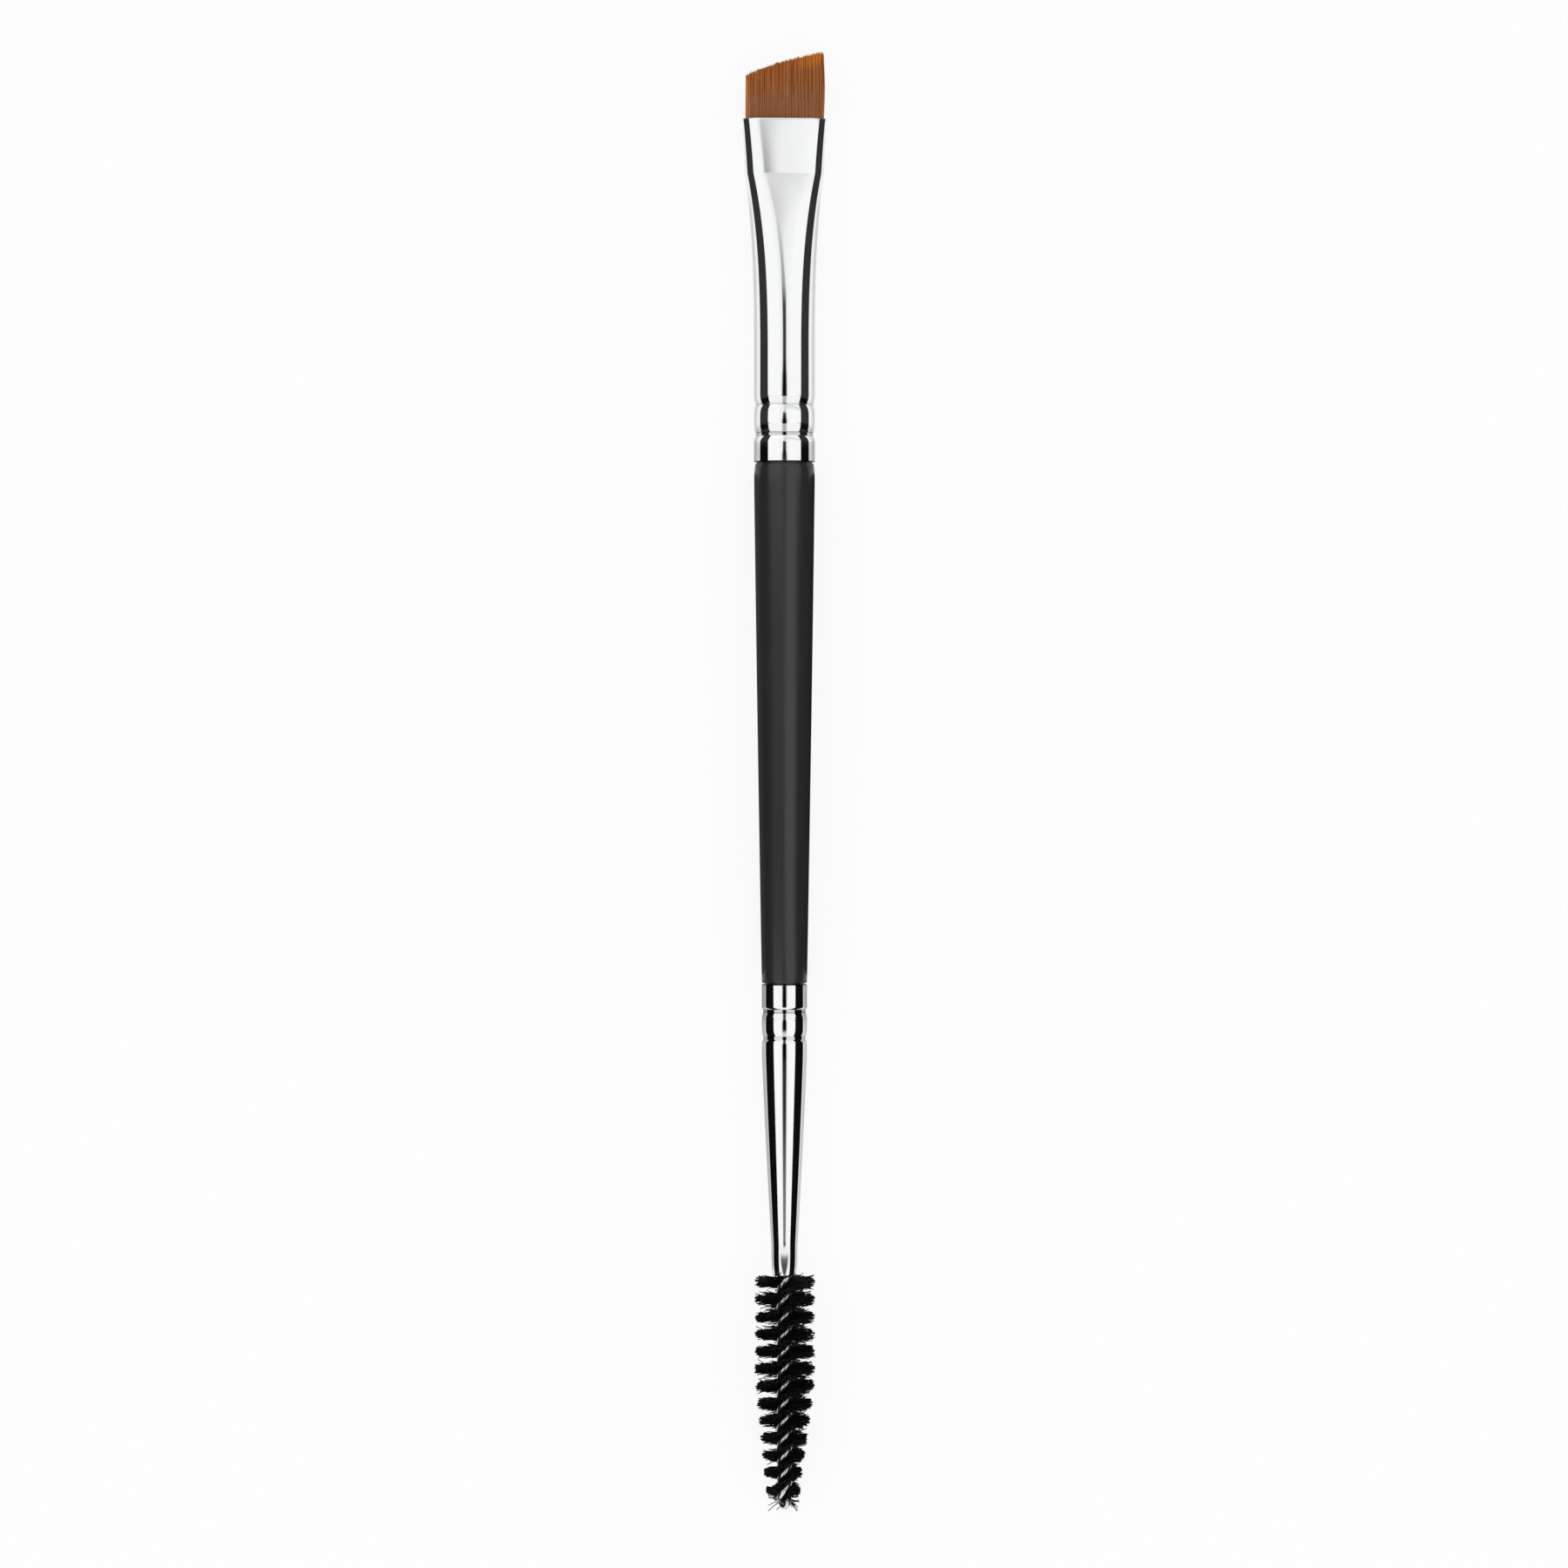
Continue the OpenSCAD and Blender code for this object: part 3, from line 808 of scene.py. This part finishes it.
def core_wire():
    y_stem = Y_NOSE + STEM_L
    count = int((y_stem - Y_HAIRPIN) / PITCH * WIRE_STEPS)
    heights = steps(y_stem, Y_HAIRPIN, count)
    quarter = math.pi / 2
    down = [around(y, STRAND_R, row_turn(y) - quarter) for y in heights]
    up = [around(y, STRAND_R, row_turn(y) + quarter) for y in reversed(heights)]
    turn = row_turn(Y_HAIRPIN) - quarter
    bend = []
    for angle in steps(0, math.pi, 12)[1:-1]:
        r = STRAND_R * math.cos(angle)
        bend.append(around(Y_HAIRPIN - STRAND_R * math.sin(angle), r, turn))
    points = down + bend + up
    deselect()
    curve = bpy.data.curves.new("core_wire_twist", "CURVE")
    curve.dimensions = "3D"
    curve.bevel_depth = WIRE_R
    curve.bevel_resolution = 3
    curve.use_fill_caps = True
    spline = curve.splines.new("POLY")
    spline.points.add(len(points) - 1)
    for point, place in zip(spline.points, points):
        point.co = (*place, 1)
    obj = bpy.data.objects.new("core_wire_twist", curve)
    bpy.context.scene.collection.objects.link(obj)
    obj.select_set(True)
    bpy.context.view_layer.objects.active = obj
    bpy.ops.object.convert(target="MESH")
    obj = bpy.context.object
    smooth_shade(obj, 60)
    return obj


# Hair and bristles: one short strand is modelled, and copied along each hair's own path


def strand_model(levels, sides):
    """Points and faces of a straight strand: a circle extruded along +Z, a ring to each level."""
    deselect()
    bpy.ops.mesh.primitive_circle_add(vertices=sides, radius=1, location=(0, 0, 0))
    obj = bpy.context.object
    bpy.ops.object.mode_set(mode="EDIT")
    bpy.ops.mesh.select_all(action="SELECT")
    bpy.ops.mesh.edge_face_add()
    bpy.ops.mesh.select_all(action="SELECT")
    for _ in range(levels - 1):
        bpy.ops.mesh.extrude_region_move(TRANSFORM_OT_translate={"value": (0, 0, 1)})
    bpy.ops.mesh.select_all(action="SELECT")
    bpy.ops.mesh.normals_make_consistent(inside=False)
    bpy.ops.object.mode_set(mode="OBJECT")
    points = [tuple(v.co) for v in obj.data.vertices]
    faces = [tuple(p.vertices) for p in obj.data.polygons]
    bpy.data.objects.remove(obj)
    return points, faces


def unit(vector):
    size = math.sqrt(sum(c * c for c in vector))
    return [c / size for c in vector]


def cross(a, b):
    return [
        a[1] * b[2] - a[2] * b[1],
        a[2] * b[0] - a[0] * b[2],
        a[0] * b[1] - a[1] * b[0],
    ]


def lay_strands(name, model, strands):
    """One mesh of many strands. Each is a path, its radii, and values for its attributes."""
    model_points, model_faces = model
    points, faces = [], []
    attributes = {key: [] for key in strands[0][2]}
    for path, radii, values in strands:
        first = len(points)
        run = unit([b - a for a, b in zip(path[0], path[-1])])
        side = unit(cross(run, (0.31, 0.17, 0.94)))
        other = cross(run, side)
        for px, py, pz in model_points:
            level = round(pz)
            c, r = path[level], radii[level]
            points.append(tuple(c[k] + r * (px * side[k] + py * other[k]) for k in range(3)))
            for key, value in values.items():
                attributes[key].append(value[level] if isinstance(value, list) else value)
        faces += [tuple(first + i for i in face) for face in model_faces]
    mesh = bpy.data.meshes.new(name)
    mesh.from_pydata(points, [], faces)
    for key, values in attributes.items():
        mesh.attributes.new(key, "FLOAT", "POINT").data.foreach_set("value", values)
    obj = bpy.data.objects.new(name, mesh)
    bpy.context.scene.collection.objects.link(obj)
    smooth_shade(obj, 70)
    return obj


# Angled tuft


def tuft_height(x):
    """Height of the slanted cut above the mouth."""
    share = (x / TUFT_HALF_W + 1) / 2
    return mix(TUFT_SHORT, TUFT_LONG, share) + CUT_BOW * 4 * share * (1 - share)


def tuft_roots():
    """Places of the hairs in the mouth, close together and a little uneven."""
    roots = []
    rows = int(TUFT_HALF_T / HAIR_ROW_SPACING)
    for row in range(-rows, rows + 1):
        z = row * HAIR_ROW_SPACING
        reach = TUFT_HALF_W - TUFT_HALF_T * (1 - math.sqrt(max(0.0, 1 - (z / TUFT_HALF_T) ** 2)))
        for i in range(int(2 * reach / HAIR_SPACING)):
            x = -reach + (i + 0.5 + 0.5 * (row % 2)) * HAIR_SPACING
            roots.append((x + uneven(HAIR_JITTER), z + uneven(HAIR_JITTER)))
    return roots


def hair_path(x0, z0, height, lean):
    """Places up a hair: it leans over, bellies out with the tuft and closes in towards the cut."""
    belly = (SWELL_RIGHT if x0 > 0 else SWELL_LEFT) * abs(x0 / TUFT_HALF_W) ** 3
    path = []
    for share in steps(0, 1, TUFT_LEVELS - 1):
        y = mix(-ROOT_DEEP, height, share**0.8)
        up = max(0.0, y / height)
        thin = mix(1, TUFT_TIP_HALF_T / TUFT_HALF_T, smooth(0.05, 1.1, up))
        x = x0 + lean * up**2 + belly * math.sin(math.pi * min(1, up * 1.1))
        path.append((x, Y_MOUTH + y, AXIS_Z + z0 * thin))
    return path


def angled_tuft():
    model = strand_model(TUFT_LEVELS, 4)
    lock_count = (int(2 * TUFT_HALF_W / LOCK_W) + 3) * LOCK_LAYERS
    locks = [(uneven(1), random.uniform(0, 1), uneven(LOCK_CUT)) for _ in range(lock_count)]
    streaks = [
        (random.uniform(*STREAK_TONES[i % 3]), random.uniform(*STREAK_STARTS))
        for i in range(int(2 * TUFT_HALF_W / STREAK_W) + 2)
    ]
    radii = [HAIR_R * (1 - 0.5 * smooth(0.8, 1.0, up)) for up in steps(0, 1, TUFT_LEVELS - 1)]
    strands = []
    for x0, z0 in tuft_roots():
        across = x0 / TUFT_HALF_W
        column = int((x0 + TUFT_HALF_W) / LOCK_W + LOCK_SHIFT * z0 / MM) + 1
        layer = int((z0 + TUFT_HALF_T) / (2 * TUFT_HALF_T) * (LOCK_LAYERS - 0.01))
        lock_lean, lock_tone, lock_cut = locks[(column * LOCK_LAYERS + layer) % len(locks)]
        lock_x = (column - 0.5) * LOCK_W - TUFT_HALF_W
        height = tuft_height(x0) + lock_cut + random.gauss(0, HAIR_CUT)
        lean = LOCK_GATHER * (lock_x - x0) + lock_lean * LOCK_LEAN + random.gauss(0, HAIR_LEAN)
        path = hair_path(x0, z0, height, lean)
        streak, start = streaks[int((x0 + TUFT_HALF_W) / STREAK_W) % len(streaks)]
        values = {
            "along": [max(0.0, (p[1] - Y_MOUTH) / height) for p in path],
            "tone": random.random(),
            "lock": lock_tone,
            "side": smooth(-0.2, 0.9, across),
            "edge": abs(across) ** 8,
            "streak": streak * mix(0.4, 1, smooth(-0.8, 0.1, across)),
            "start": start + uneven(0.04),
        }
        strands.append((path, radii, values))
    return lay_strands("angled_tuft_hair", model, strands)


# Spoolie bristles


def spool_reach(y):
    """How far the filaments reach from the axis, less and less towards the tip."""
    return min(SPOOL_R, mix(SPOOL_TIP_R, SPOOL_R, (y - Y_TIP) / SPOOL_TAPER_L))


def bristle_arm(y, turn, way, clump_turn, clump_tilt):
    """Places along one arm of a filament, from near the wire out to its end."""
    loose = random.random() < LOOSE_SHARE
    right = way * math.cos(turn)
    fuller = 1 + 0.02 * right
    near_tip = 1 - smooth(0.1 * MM, 1.2 * MM, y - Y_HAIRPIN)
    spread = fuller * (uneven(ROW_SPREAD) + clump_turn) + near_tip * random.gauss(0, TIP_SPREAD)
    spread += ROW_LEAN
    off_row = uneven(1)
    tilt = fuller * ROW_TILT * off_row + clump_tilt + near_tip * random.gauss(*TIP_TILT)
    if loose:
        spread *= LOOSE_SPREAD
        tilt += random.choice((-1, 1)) * random.uniform(*LOOSE_TILT)
    length = spool_reach(y) * (1 - abs(random.gauss(0, RAGGED))) * (1 - 0.1 * off_row**2)
    full = smooth(0, SPOOL_TAPER_L, y - Y_TIP)
    length *= 1 + 0.02 * full + right * mix(-0.08, 0.015, full)
    if near_tip > 0.4 and -way * math.sin(turn + math.radians(spread)) > 0.4:
        length *= TIP_UPRIGHT_SHARE
    if random.random() < SHORT_SHARE:
        length *= random.uniform(*SHORT_LENGTH)
    bend = random.gauss(0, ROW_BEND)
    places = []
    for share in steps(0, 1, ARM_LEVELS)[1:]:
        r = length * share
        out = max(0.0, share - 0.15)
        angle = turn + math.radians(spread * out + bend * out * out)
        shift = r * math.tan(math.radians(tilt)) * out
        places.append(around(y + shift, r * way, angle))
    return places


def spoolie_bristles():
    levels = 2 * ARM_LEVELS + 1
    model = strand_model(levels, 4)
    along = [abs(level - ARM_LEVELS) / ARM_LEVELS for level in range(levels)]
    radii = [FILAMENT_R] * levels
    y_from = Y_HAIRPIN + 0.05 * MM
    y_to = Y_NOSE - 0.12 * MM
    strands = []
    clump_left = 0
    for i in range(FILAMENTS):
        if clump_left == 0:
            clump_left = random.randint(*CLUMP_COUNT)
            clumps = [(random.gauss(0, CLUMP_TURN), random.gauss(0, CLUMP_TILT)) for _ in range(2)]
        clump_left -= 1
        y = mix(y_from, y_to, (i + random.random()) / FILAMENTS)
        turn = row_turn(y)
        if y < Y_HAIRPIN + 0.9 * MM and random.random() < TIP_LEFT_OUT:
            continue
        inner = bristle_arm(y, turn, -1, *clumps[0])
        outer = bristle_arm(y, turn, 1, *clumps[1])
        centre = around(y, random.choice((-1, 1)) * LANE, turn + math.pi / 2)
        path = inner[::-1] + [centre] + outer
        strands.append((path, radii, {"along": along, "tone": random.random()}))
    return lay_strands("spoolie_filaments", model, strands)


# Table, light and what the bright metal sees around it


# The table: how much of its shine the camera sees, and how much other surfaces mirror
TABLE_SIZE = 6.0
TABLE_SEEN = 0.88
TABLE_MIRRORED = 0.1

# The even light sheet, and the patterned one under it that only reflections see
SOFT_AT = 0.97
SOFT_LEVEL = 1.0
OVERHEAD_AT = 0.95
OVERHEAD_W = 4.1
OVERHEAD_L = 4.0
OVERHEAD_LEVEL = 1.05

# Dark band down the patterned sheet: its reach to each side, and the tone at its core. Each row
# adds to them by a soft step: how much, and from where to where, up from the middle or down.
BAND_REACH = 0.155
BAND_UP = ((-0.045, 0.078, 0.088), (-0.04, 0.15, 0.22))
BAND_DOWN = ((0.025, 0, 0.04),)
CORE_UP = (
    (0.05, 0.088, 0.094),
    (0.24, 0.135, 0.16),
    (0.15, 0.155, 0.175),
    (0.32, 0.19, 0.34),
    (0.17, 0.36, 0.5),
)
CORE_DOWN = ((0.03, 0.1, 0.16), (0.2, 0.165, 0.21), (0.4, 0.22, 0.35))

# Strip box over the wood: its height, the places across it where its ends are cut, and how far
# it stops short of the ferrules
STRIP_AT = 60 * MM
STRIP_PLACES = (-0.35, -0.22, -0.12, -0.05, 0, 0.05, 0.12, 0.22, 0.35)
STRIP_SHORT = 0.9 * MM

# White cards over the ends of the wood: their lower and upper edge, how far they reach over the
# wood, and how fast and from where they widen
END_CARD_FROM = 8 * MM
END_CARD_TO = 59 * MM
END_CARD_OVER = 0.4 * MM
END_CARD_WIDEN = 2.0
END_CARD_IN = 3.6 * MM

# Small card over the nose of the tapered ferrule
NOSE_CARD_AT = 12 * MM
NOSE_CARD_FROM = 2.2 * MM
NOSE_CARD_L = 9 * MM
NOSE_CARD_HALF_W = 14 * MM

# Black cards beside the brush: their place along it, away from it, and their height
CARD_LINE = (
    (-95 * MM, 8.5 * MM, 13.8 * MM),
    (54 * MM, 23.8 * MM, 16.5 * MM),
    (81 * MM, 10.5 * MM, 6.7 * MM),
    (105 * MM, 10.5 * MM, 6.7 * MM),
)

# Cards that lie on the table between them: how bright they are on the left and on the right,
# near the brush and away from it. The grey near the brush is a painted shadow of the brush on the
# table
LOW_CARD_Z = 0.2 * MM
LOW_CARD_IN = 1 * MM
WOOD_CARD_TONES = {"left": 0.12, "right": 0.01}
HIGH_RIM_TONES = (0.7, 0.97)
LOW_RIM_TONES = {"left": (0.51, 0.68), "right": (0.63, 0.86)}

# Pale card on the table beyond the spoolie
TIP_CARD_HALF_W = 9 * MM
TIP_CARD_GAP = 0.5 * MM
TIP_CARD_L = 25 * MM
TIP_CARD_TONE = 0.8


def ramps(value, stages):
    """Sum of soft steps of a value. Each stage is how much it adds, and from where to where."""
    return sum(amount * value.step(low, high) for amount, low, high in stages)


def glow(f, level):
    """Makes a finish shine white at this level."""
    lamp = f.node("ShaderNodeEmission", None, {"Color": f.tone((1, 1, 1), level)})
    f.tree.links.new(lamp.socket, f.output.inputs[0])
    return f.material


def table_top():
    """Pale matt table. It shows nearly white to the camera, and keeps a soft shadow."""
    f = Finish("table_top")
    cloud = f.noise(f.place(), 3.0, 2.0)
    matt = f.tree.nodes.new("ShaderNodeBsdfDiffuse")
    f.feed(matt.inputs["Color"], f.blend((0.9, 0.9, 0.9), (0.92, 0.92, 0.92), cloud))
    lamp = f.node("ShaderNodeEmission", None, {"Color": (1, 1, 1), "Strength": 1.0})
    ray = f.tree.nodes.new("ShaderNodeLightPath")
    seen = TABLE_SEEN * Signal(f, ray.outputs["Is Camera Ray"])
    for kind in ("Is Glossy Ray", "Is Transmission Ray"):
        seen = seen.at_least(TABLE_MIRRORED * Signal(f, ray.outputs[kind]))
    mixed = f.node("ShaderNodeMixShader", None, {0: seen, 1: Signal(f, matt.outputs[0]), 2: lamp})
    f.tree.links.new(mixed.socket, f.output.inputs[0])
    return f.material


def overhead_light():
    """What the metal sees above it: a broad white sheet with a dark band where the camera hangs."""
    f = Finish("overhead_light")
    place = f.place()
    right = f.axis(place, "X")
    up = f.axis(place, "Y")
    down = 0 - up
    fade = 1 - 0.2 * up.step(0.3, 0.6) * right.step(-0.05, 0) + 0.25 * abs(up).step(0.8, 1.4)
    light = OVERHEAD_LEVEL * fade * (0.9 + 0.1 * abs(right).step(0, 0.45))
    core = ramps(up, CORE_UP) + ramps(down, CORE_DOWN)
    reach = BAND_REACH + ramps(up, BAND_UP) + ramps(down, BAND_DOWN)
    right_reach = reach + 0.07 * up.step(0.27, 0.36)
    left_reach = reach - 0.03 * up.step(0.25, 0.33)
    share = (right / right_reach).at_least((0 - right) / left_reach)
    soft = up.step(0.15, 0.25)
    band = 1 - share.step(0.6 - 0.45 * soft, 1.4 + 0.3 * soft)
    band = band * (1 - down.step(0.6, 0.9))
    return glow(f, light * (1 - band * (1 - core)))


def soft_light():
    """The even light of the studio, which only matt surfaces gather."""
    f = Finish("soft_light")
    cloud = f.noise(f.place(), 1.5, 1.0)
    return glow(f, SOFT_LEVEL * (0.98 + 0.04 * cloud))


def rim_card_light(name, near, far):
    """Card on the table beside a ferrule: grey near the brush and darker still by the wood, as a
    painted shadow of the brush on the table, paler away from it.
    """
    f = Finish(name)
    place = f.place()
    y = f.axis(place, "Y")
    level = near + (far - near) * abs(f.axis(place, "X")).step(8.5 * MM, 11.5 * MM)
    off_wood = y.step(Y_HIGH + 2 * MM, Y_HIGH + 4.5 * MM)
    off_wood = off_wood + (0 - y).step(3 * MM - Y_LOW, 6 * MM - Y_LOW)
    mouth = y.step(60 * MM, 72 * MM)
    return glow(f, (level * (0.68 + 0.32 * off_wood)).at_least(0.93 * mouth))


def end_card_light():
    """White card over an end of the wood, darker up its middle, most so at the thin end."""
    f = Finish("end_card")
    place = f.place()
    height = f.axis(place, "Z") - AXIS_Z
    line = 1 - (abs(f.axis(place, "X")) / height).step(0.06, 0.2)
    thick_end = f.axis(place, "Y").step(-5 * MM, 5 * MM)
    return glow(f, 1.0 - (0.95 - 0.4 * thick_end) * line)


def nose_card_light():
    """Grey wedge in a white card over the nose of the small ferrule, darkest at the bristles."""
    f = Finish("nose_card")
    place = f.place()
    towards = (Y_NOSE + NOSE_CARD_FROM) - f.axis(place, "Y")
    half_w = 9.5 * MM - 6 * MM * towards.step(0.2 * MM, 7 * MM)
    wedge = 1 - (abs(f.axis(place, "X")) / half_w).step(0.55, 1.1)
    wedge = wedge * towards.step(-0.2 * MM, 1.5 * MM)
    dark = 0.2 - 0.11 * towards.step(0.5 * MM, 3 * MM)
    return glow(f, 1.0 - wedge * (1 - dark))


def strip_light():
    """Strip box close above the wood: bright on its right, dimmer on its left and at its foot."""
    f = Finish("strip_light")
    place = f.place()
    right = f.axis(place, "X")
    left = 0 - right
    up = f.axis(place, "Y")
    top = up.step(18 * MM, 32 * MM)
    bottom = 1 - up.step(-16 * MM, 6 * MM)
    lit = right.step(-4 * MM, 8 * MM) * (1 - right.step(35 * MM, 90 * MM))
    dim = left.step(-8 * MM, 4 * MM) * (1 - left.step(55 * MM, 100 * MM))
    dim = dim * (0.28 + 0.35 * top - 0.12 * bottom)
    line = (1 - abs(right).step(3 * MM, 9 * MM)) * top
    return glow(f, 0.04 + (lit + dim) * (1 - 0.7 * line))


def black_card():
    """Black board, a little greyer beside the flat ferrule and the thicker half of the wood."""
    f = Finish("black_card")
    y = f.axis(f.place(), "Y")
    grey = y.step(40.5 * MM, 43.5 * MM) + y.step(8 * MM, 14 * MM) * (1 - y.step(34 * MM, 36 * MM))
    return glow(f, 0.004 + 0.03 * grey)


def add_plane(name, corners, material):
    """A flat sheet with these corners."""
    mesh = bpy.data.meshes.new(name)
    mesh.from_pydata(corners, [], [tuple(range(len(corners)))])
    mesh.materials.append(material)
    obj = bpy.data.objects.new(name, mesh)
    bpy.context.scene.collection.objects.link(obj)
    return obj


def add_table():
    half = TABLE_SIZE / 2
    corners = [(-half, -half, 0), (half, -half, 0), (half, half, 0), (-half, half, 0)]
    add_plane("table", corners, table_top())


def add_sheet(name, half_w, y_from, y_to, z, material):
    """A level sheet that faces down, and that the camera doesn't see."""
    corners = [(-half_w, y_from, z), (-half_w, y_to, z), (half_w, y_to, z), (half_w, y_from, z)]
    sheet = add_plane(name, corners, material)
    sheet.visible_camera = False
    return sheet


def only_in_reflections(card):
    card.visible_camera = False
    card.visible_diffuse = False
    card.visible_transmission = False
    card.visible_shadow = False


def turned_back(y, rise, aside=0):
    """How far along the brush a reflection seen at y comes from, this high up and aside."""
    return y * (1 + math.hypot(rise, aside) / CAMERA_AWAY)


def strip_corners():
    """The strip reaches just as far along as the wood can see it, and further at its sides."""
    rise = STRIP_AT - AXIS_Z
    low = [(x, turned_back(Y_LOW, rise, x) + STRIP_SHORT, STRIP_AT) for x in STRIP_PLACES]
    high = [(x, turned_back(Y_HIGH, rise, x) - STRIP_SHORT, STRIP_AT) for x in STRIP_PLACES]
    return low + high[::-1]


def add_lights():
    half_w, half_l = OVERHEAD_W / 2, OVERHEAD_L / 2
    overhead = add_sheet("overhead_light", half_w, -half_l, half_l, OVERHEAD_AT, overhead_light())
    only_in_reflections(overhead)
    soft = add_sheet("soft_light", half_w, -half_l, half_l, SOFT_AT, soft_light())
    soft.visible_glossy = False
    only_in_reflections(add_plane("strip_light", strip_corners(), strip_light()))
    world = bpy.data.worlds.new("studio")
    bpy.context.scene.world = world
    world.use_nodes = True
    background = world.node_tree.nodes["Background"]
    background.inputs["Color"].default_value = (1, 1, 1, 1)
    background.inputs["Strength"].default_value = 1.0


def add_end_cards():
    """White cards that lean away over each end of the wood, for the slopes of the grooves."""
    material = end_card_light()
    for y, name in ((Y_HIGH - END_CARD_OVER, "high"), (Y_LOW + END_CARD_OVER, "low")):
        corners = []
        for z, ways in ((END_CARD_FROM, (-1, 1)), (END_CARD_TO, (1, -1))):
            half_w = END_CARD_WIDEN * (z - AXIS_Z) - END_CARD_IN
            corners += [(way * half_w, turned_back(y, z - AXIS_Z), z) for way in ways]
        only_in_reflections(add_plane(f"end_card_{name}", corners, material))


def add_nose_card():
    """A small card over the nose of the tapered ferrule."""
    y, z = Y_NOSE + NOSE_CARD_FROM, AXIS_Z + NOSE_CARD_AT
    y_from, y_to = y - NOSE_CARD_L, y + 0.2 * MM
    card = add_sheet("nose_card", NOSE_CARD_HALF_W, y_from, y_to, z, nose_card_light())
    only_in_reflections(card)


def upright_x(y):
    """How far out the upright cards stand beside this place."""
    for (y_from, x_from, _), (y_to, x_to, _) in zip(CARD_LINE, CARD_LINE[1:]):
        if y <= y_to:
            return mix(x_from, x_to, (y - y_from) / (y_to - y_from))
    return CARD_LINE[-1][1]


def add_low_card(name, way, y_from, y_to, material):
    """A card that lies beside the brush, from near it out to the foot of the upright card."""
    inner, z = way * LOW_CARD_IN, LOW_CARD_Z
    near, far = way * upright_x(y_from), way * upright_x(y_to)
    corners = [(inner, y_from, z), (near, y_from, z), (far, y_to, z), (inner, y_to, z)]
    only_in_reflections(add_plane(name, corners, material))


def add_cards():
    """Black cards beside the brush, and low ones on the table, which only reflections see."""
    upright = black_card()
    widest_y = CARD_LINE[1][0]
    for way, name in ((-1, "left"), (1, "right")):
        for i, (start, end) in enumerate(zip(CARD_LINE, CARD_LINE[1:])):
            feet = [(way * x, y, 0) for y, x, height in (start, end)]
            tops = [(way * x, y, height) for y, x, height in (end, start)]
            only_in_reflections(add_plane(f"black_card_{name}_{i}", feet + tops, upright))
        low = glow(Finish(f"low_card_{name}"), WOOD_CARD_TONES[name])
        add_low_card(f"low_card_{name}", way, Y_LOW + 1 * MM, Y_HIGH - 1 * MM, low)
        high_rims = rim_card_light(f"rim_card_high_{name}", *HIGH_RIM_TONES)
        low_rims = rim_card_light(f"rim_card_low_{name}", *LOW_RIM_TONES[name])
        add_low_card(f"rim_card_high_{name}", way, Y_HIGH, widest_y, high_rims)
        add_low_card(f"rim_card_mouth_{name}", way, widest_y, Y_MOUTH, high_rims)
        add_low_card(f"rim_card_low_{name}", way, Y_NOSE, Y_LOW, low_rims)


def add_tip_card():
    """A pale card on the table beyond the spoolie, for the end of the wire."""
    near, far = Y_TIP - TIP_CARD_GAP, Y_TIP - TIP_CARD_L
    tone = glow(Finish("tip_card"), TIP_CARD_TONE)
    only_in_reflections(add_sheet("tip_card", TIP_CARD_HALF_W, far, near, LOW_CARD_Z, tone))


def build():
    metal = plated_metal()
    finish_piece(flat_ferrule(), metal, "ferrule_metal", "flat_ferrule")
    finish_piece(taper_ferrule(), metal, "ferrule_metal", "taper_ferrule")
    finish_piece(handle(), black_lacquer(), "lacquered_wood", "handle")
    finish_piece(core_wire(), drawn_wire(), "twisted_wire", "core_wire")
    finish_piece(spoolie_bristles(), bristle_nylon(), "bristle_nylon", "spoolie_bristles")
    finish_piece(angled_tuft(), tuft_hair(), "hair", "angled_tuft")
    glue = amber_glue()
    for node in ("tuft_glue", "wire_glue"):
        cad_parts[node].data.materials.clear()
        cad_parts[node].data.materials.append(glue)


add_camera()
add_table()
add_lights()
add_cards()
add_end_cards()
add_nose_card()
add_tip_card()
build()
deselect()
